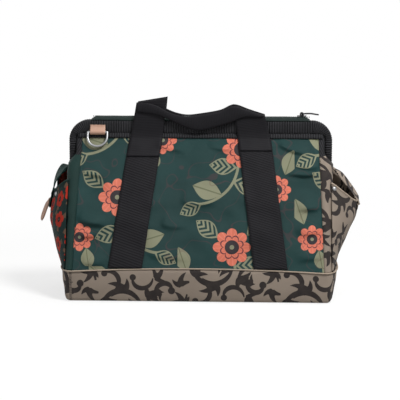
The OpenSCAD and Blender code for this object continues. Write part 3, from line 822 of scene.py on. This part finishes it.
def makeGusset(side, half):
    turn = turnOf[half]
    slideU, slideV = gussetSet["print"]

    def point(t, q):
        z = lerp(shell["bootHeight"] + gussetSet["lift"], gussetSet["top"], t)
        p = endPoint(math.pi / 2 * q * turn, z, 0.0, gussetLength)
        calm = math.sin(math.pi * t) ** 0.5 * (1 - q ** 8)
        crease = gussetSet["wrinkle"] * ripple(p.y, z * 1.6, 22.0, side * 3.0) - gussetSet["sink"]
        return Vector((side * (p.x + gussetSet["lift"] + calm * crease), p.y, z))

    grid = makeGrid(gussetSet["rows"], gussetSet["cols"], point)
    coords = []
    for line in grid:
        v = slideV + line[0].z * gussetSet["stretch"]
        coords.append([(slideU + side * turn * r, v) for r in runAlong(line)])
    if side * turn < 0:
        grid, coords = flipped(grid), flipped(coords)
    finish = gussetSet["finish"][side]
    piece = makeCloth(sideName[side] + "Gusset" + half.capitalize(), grid, coords, gussetSet["thick"],
                      finishes[finish])
    # above the pivots the end's outside is given the black ribbed cloth, so that it is dark there, and its
    # inside is lined
    piece.data.materials.append(finishes["ribbed_cloth"])
    piece.data.materials.append(finishes["lining_cloth"])
    inner = len(piece.data.vertices) // 2
    for face in piece.data.polygons:
        face.material_index = 2 if min(face.vertices) >= inner else int(face.center.z > gussetSet["dark"] * mm)
    dress(piece, None, [sideName[side] + "_gusset"])
    bendTo(piece)


# Pleats that lie folded between the halves; on the bag they fan out as a mouth half swings, but here they are
# built folded
pleatSet = {"rows": 14, "cols": 12, "depth": 2.2, "span": 2.0, "thick": 0.5, "low": 176.0, "high": 236.0,
            "inset": 2.6, "pitch": 5.0}


def makePleats(side, half):
    turn, cols = turnOf[half], pleatSet["cols"]

    def point(t, q):
        z = lerp(pleatSet["low"], pleatSet["high"], t)
        fold = pleatSet["depth"] * (round(q * cols) % 2) * (1 - 0.4 * t)
        return Vector((side * (endReach(0.0, z) - pleatSet["inset"] - fold), turn * pleatSet["span"] * q, z))

    grid = makeGrid(pleatSet["rows"], cols, point, side * turn < 0)
    coords = [[(j * pleatSet["pitch"], p.z) for j, p in enumerate(line)] for line in grid]
    piece = makeCloth(sideName[side] + "Pleats" + half.capitalize(), grid, coords, pleatSet["thick"],
                      finishes["scroll_cloth"])
    dress(piece, None)
    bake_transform(piece)


for side in (-1, 1):
    for half in ("front", "rear"):
        makeGusset(side, half)
        makePleats(side, half)
print("gussets made")


# Lining: a floor, and a front and a rear wall that follow the shell inside
liningSet = {"rows": 40, "faceCols": 60, "endCols": 14, "inset": 2.5, "endInset": 3.7, "thick": 0.9,
             "low": -0.2, "top": 0.985, "floor": 6.2, "floorInset": 5.5, "floorThick": 0.8}


def makeLiningWall(half, side):
    turn, rows = turnOf[half], liningSet["rows"]
    faceCols, endCols = liningSet["faceCols"], liningSet["endCols"]
    grid = []
    for i in range(rows + 1):
        t = lerp(liningSet["low"], liningSet["top"], i / rows)
        z = lerp(shell["bootHeight"], shell["panelTop"], t)
        ends = [endPoint(math.pi / 2 * k / endCols, z, liningSet["endInset"]) for k in range(endCols)]
        line = [Vector((-p.x, turn * p.y, z)) for p in ends]
        for k in range(faceCols + 1):
            line.append(facePoint(lerp(-1, 1, k / faceCols), t, side, -liningSet["inset"]))
        line += [Vector((p.x, turn * p.y, z)) for p in reversed(ends)]
        grid.append(line[::-turn])
    coords = [[(p.x + p.y, p.z) for p in line] for line in grid]
    piece = makeCloth(half + "Lining", grid, coords, liningSet["thick"], finishes["lining_cloth"])
    dress(piece, None, ["lining"])
    bendTo(piece)


def makeLiningFloor():
    z = liningSet["floor"]
    ring = shellRing(lambda s: z, liningSet["floorInset"])
    grid = []
    for share in (0.04, 0.25, 0.5, 0.75, 1.0):
        flat = [(p.x * share, p.y * share) for p in ring]
        grid.append([Vector((x, y, z + 0.6 * ripple(x, y, 60, 1.0))) for x, y in flat])
    coords = [[(p.x, p.y) for p in line] for line in grid]
    piece = makeCloth("liningFloor", grid, coords, liningSet["floorThick"], finishes["lining_cloth"], wrap=True,
                      cap=True)
    dress(piece, "bag", ["lining"])


makeLiningWall("front", "front")
makeLiningWall("rear", "back")
makeLiningFloor()
print("lining made")


# End pockets: gathered at the rim, each bulging its own way
pocketSets = {
    "left": {"side": -1, "bulge": 33.0, "rim": 174.0, "dip": 20.0, "fill": 0.45, "arch": (0.72, -1.0),
             "lap": 0.24, "rear": (0.05, 0.55, 1.3, 15.0), "tilt": 0.55, "rivet": (-0.5, 0.93),
             "print": (0.0, 0.0), "hug": 0.0, "finish": "blossom_cloth", "inside": "lining_cloth",
             "hem": "green_cloth", "strap": "green_cloth"},
    "right": {"side": 1, "bulge": 44.0, "rim": 172.0, "dip": 33.0, "fill": 1.0, "arch": (0.45, -13.0),
              "lap": 0.12, "rear": (0.15, 0.6, 0.81, 11.0), "tilt": 0.36, "rivet": (-0.96, 0.96),
              "print": (104.0, 16.0), "hug": 0.8, "finish": "scroll_cloth", "inside": "scroll_cloth",
              "hem": "piping", "strap": "scroll_cloth"}}
pocketCloth = {"rows": 44, "cols": 84, "thick": 1.7, "width": 0.93, "gather": 1.6, "crumple": 1.6, "clear": 2.5,
               "hem": 1.5, "riseFrom": 0.62, "swellPower": 2.4, "flat": (100.0, 126.0)}
pocketFoot = shell["bootHeight"] + 1


# A point of a pocket at places across and up, off its resting face
def pocketPoint(pocket, v, t, off):
    side = pocket["side"]
    start, span, share, rise = pocket["rear"]
    rear = 1 - share * smooth((v - start) / span)
    lift = rise * smooth((v - pocketCloth["riseFrom"]) / (1 - pocketCloth["riseFrom"]))
    rim = pocket["rim"] - pocket["dip"] * (1 - v * v) * rear + lift
    z = lerp(pocketFoot, rim, t)
    y = v * pocketCloth["width"] * depthAt(z)
    swell = pocket["bulge"] * clamp(t) ** pocket["fill"] * (1 - abs(v) ** pocketCloth["swellPower"])
    gather = pocketCloth["gather"] * t * math.cos(6 * math.pi * v) * (1 - v * v) * (1 - abs(v))
    calm = (1 - v ** 6) * math.sin(math.pi * clamp(t)) ** 0.7
    crumple = pocketCloth["crumple"] * ripple(y * 1.3, z, 24.0, side * 4.0) * calm
    edge = (endReach(y, z, gussetLength) - endReach(y, z)) * abs(v) ** 3
    return Vector((side * (endReach(y, z) + off + swell + gather + crumple + edge), y, z))


def makePocket(name):
    pocket = pocketSets[name]
    rows, cols = pocketCloth["rows"], pocketCloth["cols"]
    u, v = pocket["print"]
    wide, tall = pocketCloth["flat"]
    grid = makeGrid(rows, cols, lambda t, q: pocketPoint(pocket, lerp(-1, 1, q), t, pocketCloth["clear"]),
                    pocket["side"] < 0)
    coords = makeGrid(rows, cols, lambda t, q: (u + lerp(-1, 1, q) * wide, v + t * tall))
    piece = makeCloth(name + "Pocket", grid, coords, pocketCloth["thick"], finishes[pocket["finish"]],
                      inside=finishes[pocket["inside"]])
    dress(piece, "bag", [name + "_pocket"])
    rim = [p + Vector((-pocket["side"] * 0.8, 0, 0.4)) for p in grid[-1]]
    hem = makeTube(name + "PocketHem", rim, pocketCloth["hem"], finishes[pocket["hem"]])
    dress(hem, "bag")


def bow(a, b, c, count):
    return [a * (1 - t) ** 2 + b * (2 * t * (1 - t)) + c * t * t for t in (i / count for i in range(count + 1))]


# Smooth line through the points it is given
def spline(points, count):
    ends = [points[0] * 2 - points[1]] + list(points) + [points[-1] * 2 - points[-2]]
    out = []
    for i in range(len(points) - 1):
        a, b, c, d = ends[i:i + 4]
        for k in range(count):
            t = k / count
            out.append((b * 2 + (c - a) * t + (a * 2 - b * 5 + c * 4 - d) * t * t
                        + (b * 3 - a - c * 3 + d) * t ** 3) * 0.5)
    return out + [points[-1]]


# Closure strap: sewn inside the pocket, up past the pivot, over the mouth and down the pocket's face
closureSet = {"width": 26.0, "thick": 1.8, "print": 150.0, "rootZ": 160.0, "rootOff": 2.3, "shoulderX": 200.6,
              "shoulderUp": 4.0, "clear": 0.6, "lip": (0.6, 0.8), "rise": 4, "over": 8, "laps": 4, "steps": 3,
              "cols": 14, "belly": 1.2, "round": 0.05}


def closureLine(pocket):
    root = Vector((endReach(0.0, closureSet["rootZ"]) + closureSet["rootOff"], 0, closureSet["rootZ"]))
    shoulder = Vector((closureSet["shoulderX"], 0, shell["pivot"] + closureSet["shoulderUp"]))
    clear = pocketCloth["clear"] + closureSet["clear"]
    out, up = closureSet["lip"]
    lip = pocketPoint(pocket, 0.0, 1.0, clear)
    lip = Vector((abs(lip.x) + out, 0, lip.z + up))
    share, lift = pocket["arch"]
    crown = Vector((lerp(shoulder.x, lip.x, share), 0, shoulder.z + lift))
    line = bow(root, Vector((shoulder.x, 0, root.z + 8)), shoulder, closureSet["rise"])
    line += bow(shoulder, crown, lip, closureSet["over"])[1:]
    line = [Vector((pocket["side"] * p.x, 0, p.z)) for p in line]
    laps = [1 - pocket["lap"] * i / closureSet["laps"] for i in range(1, closureSet["laps"] + 1)]
    return line + [pocketPoint(pocket, 0.0, t, clear) for t in laps]


# Band along a line in the plane of the ends, with its width along Y; shape gives the half-width along it
def bandGrid(line, shape, cols, side, belly):
    grid = []
    last = len(line) - 1
    for i, p in enumerate(line):
        along = line[min(last, i + 1)] - line[max(0, i - 1)]
        out = Vector((-along.z, 0, along.x)).normalized() * -side
        places = [lerp(-1, 1, j / cols) for j in range(cols + 1)]
        row = [p + Vector((0, s * shape(i / last), 0)) - out * belly * s * s for s in places]
        grid.append(row[::-side])
    return grid


def makeClosure(name):
    pocket = pocketSets[name]
    half, steps = closureSet["width"] / 2, closureSet["steps"]
    line = spline(closureLine(pocket), steps)
    lip = line[(closureSet["rise"] + closureSet["over"]) * steps]

    def shape(t):
        return half * min(1.0, 0.6 + math.sqrt(max(0.0, (1 - t) / closureSet["round"])) * 0.4)

    grid = bandGrid(line, shape, closureSet["cols"], pocket["side"], closureSet["belly"])
    for i, row in enumerate(grid):
        t = i / (len(grid) - 1)
        lean = pocket["tilt"] * smooth((t - 0.26) / 0.2) * smooth((0.84 - t) / 0.16)
        hug = pocket["hug"] * smooth((t - 0.72) / 0.1)
        for j, p in enumerate(row):
            up = min(1.0, (p.z - pocketFoot) / (lip.z - pocketFoot))
            v = p.y / (pocketCloth["width"] * depthAt(p.z))
            fall = pocketPoint(pocket, v, up, 0.0).x - pocketPoint(pocket, 0.0, up, 0.0).x
            row[j] = p + Vector((hug * fall, 0, 0.5 * ripple(p.y, p.x, 9.0, 6.0) + lean * p.y))
    slide = closureSet["print"]
    coords = [[(u + slide, v + slide) for u, v in row] for row in flatCoords(grid, half)]
    piece = makeCloth(name + "PocketStrap", grid, coords, closureSet["thick"], finishes[pocket["strap"]])
    dress(piece, "bag", [name + "_pocket_strap"])


# Leather tab that hangs from the left closure strap
pullTabSet = {"drop": 11.4, "width": 14.0, "thick": 2.2, "twist": 0.4, "bow": 6.0, "rows": 22, "cols": 12,
              "belly": 0.5, "round": 0.75}


def makePullTab():
    low, high = extent("left_pull_tab")
    top = Vector((high[0] - 1.4, 0, high[2] - 0.8))
    end = Vector((low[0] + 0.6, 0, low[2] + 1.2))
    line = bow(top, top - Vector((pullTabSet["bow"], 0, pullTabSet["drop"])), end, pullTabSet["rows"])
    half, start = pullTabSet["width"] / 2, pullTabSet["round"]

    def shape(t):
        return half * math.sqrt(max(0.04, 1 - max(0.0, (t - start) / (1 - start)) ** 2))

    grid = bandGrid(line, shape, pullTabSet["cols"], -1, pullTabSet["belly"])
    for i, row in enumerate(grid):
        turn = pullTabSet["twist"] * smooth(i / pullTabSet["rows"] / 0.4)
        grid[i] = [p - Vector((p.y * turn, 0, 0)) for p in row]
    piece = makeCloth("leftPullTab", grid, flatCoords(grid, half), pullTabSet["thick"], finishes["tab_leather"])
    dress(piece, "bag", ["left_pull_tab"])


# Domed rivets on the pockets' cloth
rivetSet = {"radius": 3.5, "dome": 2.2, "sunk": 0.5, "rings": 6, "sides": 18}


def makeRivets():
    points, faces, coords = [], [], []
    rings, sides, sunk = rivetSet["rings"], rivetSet["sides"], rivetSet["sunk"]
    for pocket in pocketSets.values():
        v, t = pocket["rivet"]

        def face(dv, dt):
            return pocketPoint(pocket, v + dv, t + dt, pocketCloth["clear"])

        across = face(0.02, 0) - face(-0.02, 0)
        out = across.cross(face(0, 0.03) - face(0, -0.03)).normalized() * pocket["side"]
        across.normalize()
        up = out.cross(across)
        faces += ringFaces(rings, sides, len(points))
        for ring in range(rings):
            angle = ring / (rings - 1) * math.pi / 2
            radius = rivetSet["radius"] * math.cos(angle * 0.97)
            height = (rivetSet["dome"] + sunk) * math.sin(angle) - sunk
            for k in range(sides):
                a = fullTurn * k / sides
                points.append(face(0, 0) + (across * math.cos(a) + up * math.sin(a)) * radius + out * height)
                coords.append((radius, a))
    piece = makePiece("pocketRivets", points, faces, coords, finishes["nickel"])
    dress(piece, "bag", ["pocket_rivets"])


for name in pocketSets:
    makePocket(name)
for name in pocketSets:
    makeClosure(name)
makePullTab()
makeRivets()
print("pockets made")


# Webbing sewn up the panels: it lies on the cloth and leans inward
strapSet = {"width": 50.0, "thick": 2.2, "foot": 108.0, "head": 82.0, "low": 50.5, "high": 235.0, "rows": 70,
            "cols": 12, "clear": 0.3, "crown": 0.3}


def strapMiddle(z):
    low = shell["bootHeight"]
    return lerp(strapSet["foot"], strapSet["head"], (z - low) / (strapSet["high"] - low))


# The panel's face at a place across and up, with its folds, lifted off it
def onPanel(x, z, side, lift):
    s = clamp((x / flatAt(z) + 1) / 2) * 2 - 1
    foot = footAt(s)
    p = facePoint(s, (z - foot) / (shell["panelTop"] - foot), side, lift)
    return Vector((x, p.y, z))


def makeStrap(face, side):
    def point(t, q):
        z = lerp(strapSet["low"], strapSet["high"], t)
        s = lerp(-1, 1, q) * -turnOf[face]
        x = side * strapMiddle(z) + s * strapSet["width"] / 2
        return onPanel(x, z, face, strapSet["clear"] + strapSet["thick"] + strapSet["crown"] * (1 - s * s))

    grid = makeGrid(strapSet["rows"], strapSet["cols"], point)
    coords = flatCoords(grid, strapSet["width"] / 2)
    piece = makeCloth(face + "Strap" + sideName[side].capitalize(), grid, coords, strapSet["thick"],
                      finishes["webbing"])
    dress(piece, None, [face + "_strap_" + sideName[side]])
    bendTo(piece)


for face in ("front", "back"):
    for side in (-1, 1):
        makeStrap(face, side)
print("straps made")


# Carrying handle: two legs that lap the straps and rise past the sleeve, and a half-folded grip between them
handleSet = {"thick": 1.9, "legRows": 46, "legCols": 12, "lap": {-1: 210.0, 1: 219.0}, "width": 48.5,
             "flat": 24.0, "hipZ": 243.0, "hipX": 80.0, "hipShare": 0.42, "leave": (226.0, 20.0),
             "lapTop": 236.0, "lapClear": 0.5, "curl": 1.1, "out": 15.4, "gripDepth": 3.4, "gripClear": 0.4,
             "gripCols": 16, "gripSteps": 8, "gripFold": (0.42, 0.58),
             "legTop": {-1: ((-96.0, 289.0), (-51.0, 296.5)), 1: ((49.0, 285.5), (97.0, 270.5))},
             "gripTop": [(-95.5, 288.0), (-80, 288.5), (-66, 285), (-52, 277.5), (-38, 272), (-21, 269),
                         (-1, 271), (29, 276.5), (50, 285), (73, 278), (95, 270.5)],
             "gripLow": [(-95, 275), (-80, 274), (-66, 271.5), (-53, 267), (-39, 260.5), (-20, 252.5),
                         (-1, 248.5), (29, 255.5), (49, 262), (67, 268), (92, 267.5)]}


def legFace(x, z, face):
    start, run = handleSet["leave"]
    lap = strapSet["clear"] + strapSet["thick"] + handleSet["thick"] + handleSet["lapClear"]
    low = onPanel(x, min(z, handleSet["lapTop"]), face, lap).y
    return lerp(low, turnOf[face] * handleSet["out"], smooth((z - start) / run))


def handleLeg(face, side):
    turn = turnOf[face]
    (x0, z0), (x1, z1) = handleSet["legTop"][side]
    lap, bend = handleSet["lap"][side], handleSet["hipShare"]

    def point(t, q):
        q = q if turn < 0 else 1 - q
        off = (q - 0.5) * handleSet["width"]
        foot = Vector((side * strapMiddle(lap) + off, 0, lap))
        hip = Vector((side * handleSet["hipX"] + off, 0, handleSet["hipZ"]))
        head = Vector((lerp(x0, x1, q), 0, lerp(z0, z1, q)))
        p = foot.lerp(hip, t / bend) if t < bend else hip.lerp(head, (t - bend) / (1 - bend))
        p.y = legFace(p.x, p.z, face) + turn * handleSet["curl"] * (2 * q - 1) ** 2 * smooth((t - 0.5) / 0.5)
        return p

    return makeGrid(handleSet["legRows"], handleSet["legCols"], point)


# The grip's cloth goes down its outside, turns in at the fold and comes back up behind
def handleGrip(face):
    turn = turnOf[face]
    tops = spline([Vector((x, 0, z)) for x, z in handleSet["gripTop"]], handleSet["gripSteps"])
    lows = spline([Vector((x, 0, z)) for x, z in handleSet["gripLow"]], handleSet["gripSteps"])
    near, cols = handleSet["out"] + handleSet["gripClear"], handleSet["gripCols"]
    fold, back = handleSet["gripFold"]
    grid = []
    for i, (top, low) in enumerate(zip(tops, lows)):
        q = i / (len(tops) - 1)
        depth = handleSet["gripDepth"] * (0.35 + 0.65 * math.sin(math.pi * q) ** 0.6)
        row = []
        for k in range(cols + 1):
            a = k / cols
            if a < fold:
                share, out = a / fold, near + depth + math.sin(math.pi * a / fold)
            elif a < back:
                turnIn = (a - fold) / (back - fold)
                share, out = 1 + 0.06 * math.sin(math.pi * turnIn), near + depth * (1 - turnIn)
            else:
                share, out = 1 - (a - back) / (1 - back) * 0.96, near
            p = top.lerp(low, share)
            row.append(Vector((p.x, turn * out, p.z)))
        grid.append(row[::-turn])
    return grid


def makeHandle(face):
    half = halfOf[face]
    points, faces, coords = [], [], []
    for grid in (handleLeg(face, -1), handleLeg(face, 1), handleGrip(face)):
        slab = clothSlab(grid, flatCoords(grid, handleSet["flat"]), handleSet["thick"])
        base = len(points)
        points += slab[0]
        faces += [tuple(k + base for k in one) for one in slab[1]]
        coords += slab[2]
    piece = makePiece(half + "Handle", points, faces, coords, finishes["handle"])
    dress(piece, None, [half + "_handle"])
    bendTo(piece)


for face in ("front", "back"):
    makeHandle(face)
print("handles made")


# Ribbed sleeve swept round the U of the frame, closed at both feet
sleeveSet = {"half": 199.0, "top": 262.0, "corner": 30.0, "innerHalf": 188.0, "low": 241.5, "foot": 200.0,
             "middle": 7.0, "depth": 5.5, "squareness": 0.55, "sides": 20, "flatSide": 3.2, "rib": 3.4,
             "ribDepth": 0.32, "step": 0.57}


# Outer and inner points of the U, and the run along it, from the left foot to the right one
def sleeveStations():
    half, top, corner = sleeveSet["half"], sleeveSet["top"], sleeveSet["corner"]
    cx, cz = half - corner, top - corner
    leg, arc = cz - sleeveSet["foot"], math.pi / 2 * corner
    total = 2 * (leg + arc + cx)
    count = int(total / sleeveSet["step"])
    stations = []
    for i in range(count + 1):
        run = total * i / count
        near = min(run, total - run)
        side = -1 if run < total / 2 else 1
        if near < leg:
            z = sleeveSet["foot"] + near
            outer, inner = Vector((half, 0, z)), Vector((sleeveSet["innerHalf"], 0, z))
        elif near < leg + arc:
            angle = (near - leg) / corner
            c, s = math.cos(angle), math.sin(angle)
            wide, tall = sleeveSet["innerHalf"] - cx, sleeveSet["low"] - cz
            reach = ((c / wide) ** 6 + (s / tall) ** 6) ** (-1 / 6)
            outer = Vector((cx + corner * c, 0, cz + corner * s))
            inner = Vector((cx + reach * c, 0, cz + reach * s))
        else:
            x = cx - (near - leg - arc)
            outer, inner = Vector((x, 0, top)), Vector((x, 0, sleeveSet["low"]))
        outer.x *= side
        inner.x *= side
        stations.append((outer, inner, run))
    return stations


def signedPower(value, power):
    return math.copysign(abs(value) ** power, value)


def makeSleeve(half):
    turn, sides, power = turnOf[half], sleeveSet["sides"], sleeveSet["squareness"]
    points, coords = [], []
    stations = sleeveStations()
    for outer, inner, run in stations:
        middle, across = (outer + inner) / 2, (outer - inner) / 2
        wave = sleeveSet["ribDepth"] * math.cos(fullTurn * run / sleeveSet["rib"])
        slump = 0.5 * ripple(run, 0.0, 40.0, 7.0)
        for k in range(sides):
            a = fullTurn * k / sides
            c, s = signedPower(math.cos(a), power), signedPower(math.sin(a), power)
            p = middle + across * (c * (1 + wave / across.length))
            y = sleeveSet["middle"] + (sleeveSet["depth"] + wave + slump * abs(s)) * s
            points.append(Vector((p.x, turn * y, p.z)))
            coords.append((run, k * sleeveSet["flatSide"]))
    faces = ringFaces(len(stations), sides, flip=turn > 0)
    piece = makePiece(half + "Sleeve", points, faces, coords, finishes["ribbed_cloth"])
    dress(piece, half + "_mouth", [half + "_sleeve"])


# Binding that laps the panel's top
bindingSet = {"half": 184.5, "cols": 120, "thick": 1.2,
              "profile": ((15.0, 235.6), (14.6, 238.0), (13.2, 240.8), (11.0, 243.0), (9.0, 245.0))}


def makeBinding(half):
    turn, cols = turnOf[half], bindingSet["cols"]
    grid = []
    for y, z in bindingSet["profile"]:
        line = []
        for j in range(cols + 1):
            out = y + 0.5 * ripple(j * 3.0, z, 30.0, 4.0)
            line.append(Vector((lerp(-1, 1, j / cols) * bindingSet["half"], turn * out, z)))
        grid.append(line[::-turn])
    piece = makeCloth(half + "Binding", grid, flatCoords(grid, bindingSet["half"]), bindingSet["thick"],
                      finishes["ribbed_cloth"])
    dress(piece, half + "_mouth")


for half in ("front", "rear"):
    makeSleeve(half)
    makeBinding(half)
print("sleeves made")


# Zip: cloth strips, moulded teeth, and a long loop on the slider
zipSet = {"half": 165.0, "cols": 160, "thick": 1.3, "end": 262.4,
          "profile": ((11.6, 262.0), (10.6, 263.6), (8.6, 265.2), (6.4, 266.6), (4.4, 267.6), (2.9, 267.9))}
toothSet = {"height": 267.1, "pitch": 3.0, "half": (0.62, 1.5, 0.95), "line": 1.7, "sides": 8, "grow": 1.08,
            "stagger": {"front": 0.25, "rear": 0.75}}
pullSet = {"rise": 0.8, "droop": 2.5, "narrow": 0.35, "wire": 1.05, "sides": 10, "steps": 18}


def makeZipStrip(half):
    turn, cols, wide = turnOf[half], zipSet["cols"], zipSet["half"]
    grid = []
    for y, z in zipSet["profile"]:
        line = []
        for j in range(cols + 1):
            s = lerp(-1, 1, j / cols)
            ease = 1 - smooth((abs(s) - 0.96) / 0.04)
            wave = 0.4 * ripple(s * wide, y, 22.0, turn * 2.0)
            line.append(Vector((s * wide, turn * y, lerp(zipSet["end"], z, 0.35 + 0.65 * ease) + wave * ease)))
        grid.append(line[::-turn])
    piece = makeCloth(half + "ZipStrip", grid, flatCoords(grid, wide), zipSet["thick"], finishes["zip_tape"])
    dress(piece, half + "_mouth", [half + "_zip_strip"])


# Each tooth is a block with its edges taken off
def makeTeeth(half):
    turn, sides, grow = turnOf[half], toothSet["sides"], toothSet["grow"]
    low, high = extent(half + "_zip_chain")
    points, faces, coords = [], [], []
    a, b, c = toothSet["half"]
    levels = ((-c, 0.7), (-0.5 * c, 1.0), (0.5 * c, 1.0), (c, 0.7))
    for i in range(int((high[0] - low[0]) / toothSet["pitch"])):
        x = low[0] + (i + toothSet["stagger"][half]) * toothSet["pitch"]
        faces += ringFaces(len(levels), sides, len(points), flip=turn < 0)
        for dz, share in levels:
            for k in range(sides):
                angle = (k + 0.5) * fullTurn / sides
                y = toothSet["line"] + math.sin(angle) * grow * b * share
                dx = math.cos(angle) * grow * a * share
                points.append(Vector((x + dx, turn * y, toothSet["height"] + dz)))
                coords.append((x, dz))
    piece = makePiece(half + "ZipTeeth", points, faces, coords, finishes["zip_teeth"], smooth=False)
    dress(piece, half + "_mouth", [half + "_zip_chain"])


def makePull():
    low, high = extent("zip_pull")
    x0, z0 = low[0] + 1.0, (low[2] + high[2]) / 2
    reach, half = high[0] - x0 - 4.0, (high[1] - low[1]) / 2 - 0.9
    line = []
    for side in (-1, 1):
        leg = []
        for i in range(pullSet["steps"] + 1):
            t = i / pullSet["steps"]
            y = side * half * (1 - pullSet["narrow"] * smooth((t - 0.8) / 0.2))
            rise = pullSet["rise"] * math.sin(math.pi * min(1, t * 1.15))
            leg.append(Vector((x0 + reach * t, y, z0 + rise - pullSet["droop"] * max(0, t - 0.55) ** 1.4)))
        line += leg[::-side]
    piece = makeTube("zipPull", line, pullSet["wire"], finishes["zip_metal"], closed=True,
                     sides=pullSet["sides"])
    dress(piece, "zip_pull", ["zip_pull"])


for half in ("front", "rear"):
    makeZipStrip(half)
    makeTeeth(half)
makePull()
print("zip made")


# Leather tab folded round each D-ring's bar and sewn to the sleeve
tabSet = {"thick": 1.5, "width": 23.0, "roll": 3.7, "cols": 14, "face": 12.9, "bar": (16.3, 244.0),
          "arc": (60.0, -150.0), "arcSteps": 12, "steps": 3}


def makeRingTab(half):
    low, high = extent(half + "_ring_tab")
    turn, roll, face = turnOf[half], tabSet["roll"], tabSet["face"]
    middle = (low[0] + high[0]) / 2
    barY, barZ = tabSet["bar"]
    line = [Vector((0, face + 1.6, high[2])), Vector((0, face + 1.9, lerp(barZ, high[2], 0.7)))]
    for i in range(tabSet["arcSteps"] + 1):
        angle = math.radians(lerp(*tabSet["arc"], i / tabSet["arcSteps"]))
        line.append(Vector((0, barY + roll * math.cos(angle), barZ + roll * math.sin(angle))))
    line.append(Vector((0, face + 0.2, lerp(barZ, high[2], 0.3))))
    places = [lerp(-1, 1, j / tabSet["cols"]) for j in range(tabSet["cols"] + 1)]
    grid = []
    for p in reversed(spline(line, tabSet["steps"])):
        row = [Vector((middle + s * tabSet["width"] / 2, turn * (p.y - 0.25 * s ** 8), p.z)) for s in places]
        grid.append(row[::-turn])
    piece = makeCloth(half + "RingTab", grid, flatCoords(grid, tabSet["width"] / 2), tabSet["thick"],
                      finishes["tab_leather"])
    dress(piece, half + "_mouth", [half + "_ring_tab"])


for half in ("front", "rear"):
    makeRingTab(half)

# Carried-over nodes get their own finishes
carried = {"base_board": "board", "pivot_pins": "nickel", "zip_slider": "zip_metal",
           "front_frame": "dark_steel", "rear_frame": "dark_steel", "front_d_ring": "nickel",
           "rear_d_ring": "nickel"}
for node, finish in carried.items():
    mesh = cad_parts[node].data
    mesh.materials.clear()
    mesh.materials.append(finishes[finish])
print("hardware finished")


# Floor, world, lights and camera
stageSet = {"floor": "#bdbdbb", "paper": "#f8f8f7", "ambient": 0.16, "shine": 0.72, "near": 0.3, "far": 0.9,
            "half": 6000.0, "drop": 0.5, "light": "#ffffff"}
cameraSet = {"azimuth": 2.3, "elevation": 7.6, "distance": 2200.0, "target": (1.0, -40.0, 145.0), "lens": 132.0,
             "roll": 0.15}


# 1 where the camera looks, straight on or by way of a shiny or clear surface
def seenRays(kit):
    path = kit.node("LightPath")
    return kit.most(kit.most(path, kit.also(path, "Is Glossy Ray")), kit.also(path, "Is Transmission Ray"))


# The floor is lit paper to the camera, and plain grey to the light that bounces off it
def makeStage():
    f = Finish("floorPaper")
    seen = seenRays(f)
    plain = f.finish(Base_Color=f.mix(seen, stageSet["floor"], stageSet["paper"]), Roughness=0.9)
    away = f.node("VectorMath", {"operation": "LENGTH"}, {0: f.place()}, "Value")
    shine = f.smooth(away, stageSet["near"], stageSet["far"]) * (1 - stageSet["shine"]) + stageSet["shine"]
    glow = f.node("Emission", None, {0: stageSet["light"]})
    grey = Value(f, f.shader.outputs[0])
    f.link(f.out.inputs[0], f.node("MixShader", None, {0: seen * shine, 1: grey, 2: glow}))
    r, z = stageSet["half"], -stageSet["drop"]
    corners = [(-r, -r, z), (r, -r, z), (r, r, z), (-r, r, z)]
    floor = makePiece("floor", corners, [(0, 1, 2, 3)], [(0, 0)] * 4, plain)


def makeWorld():
    world = bpy.data.worlds.new("studio")
    bpy.context.scene.world = world
    kit = Kit(world, "World")
    soft = kit.node("Background", None, {0: stageSet["light"], 1: stageSet["ambient"]})
    white = kit.node("Background", None, {0: stageSet["light"], 1: 1.0})
    kit.link(kit.out.inputs[0], kit.node("MixShader", None, {0: seenRays(kit), 1: soft, 2: white}))


# Soft boxes: place, aim, size, strength
lamps = {"key": ((850, -950, 1900), (0, 0, 120), 550, 48.0),
         "fill": ((-1400, -1300, 1000), (0, 0, 120), 1000, 5.0),
         "top": ((0, 100, 1800), (0, 0, 150), 1500, 5.5),
         "back": ((300, 1500, 1000), (0, 0, 150), 1300, 5.0)}


def makeLamp(name):
    place, aim, size, power = lamps[name]
    data = bpy.data.lights.new(name + "Lamp", "AREA")
    data.size = size * mm
    data.energy = power
    lamp = bpy.data.objects.new(name + "Lamp", data)
    lamp.location = Vector(place) * mm
    lamp.rotation_euler = (Vector(aim) - Vector(place)).to_track_quat("-Z", "Y").to_euler()
    bpy.context.scene.collection.objects.link(lamp)


def makeCamera():
    data = bpy.data.cameras.new("photoCamera")
    data.lens = cameraSet["lens"]
    camera = bpy.data.objects.new("photoCamera", data)
    turn, lift = math.radians(cameraSet["azimuth"]), math.radians(cameraSet["elevation"])
    back = Vector((math.sin(turn) * math.cos(lift), -math.cos(turn) * math.cos(lift), math.sin(lift)))
    camera.location = (Vector(cameraSet["target"]) + back * cameraSet["distance"]) * mm
    level = (-back).to_track_quat("-Z", "Y")
    camera.rotation_mode = "QUATERNION"
    camera.rotation_quaternion = level @ Quaternion((0, 0, 1), math.radians(cameraSet["roll"]))
    bpy.context.scene.collection.objects.link(camera)
    bpy.context.scene.camera = camera


makeStage()
makeWorld()
for name in lamps:
    makeLamp(name)
makeCamera()
bpy.context.scene.view_settings.view_transform = "Standard"
print("stage set")
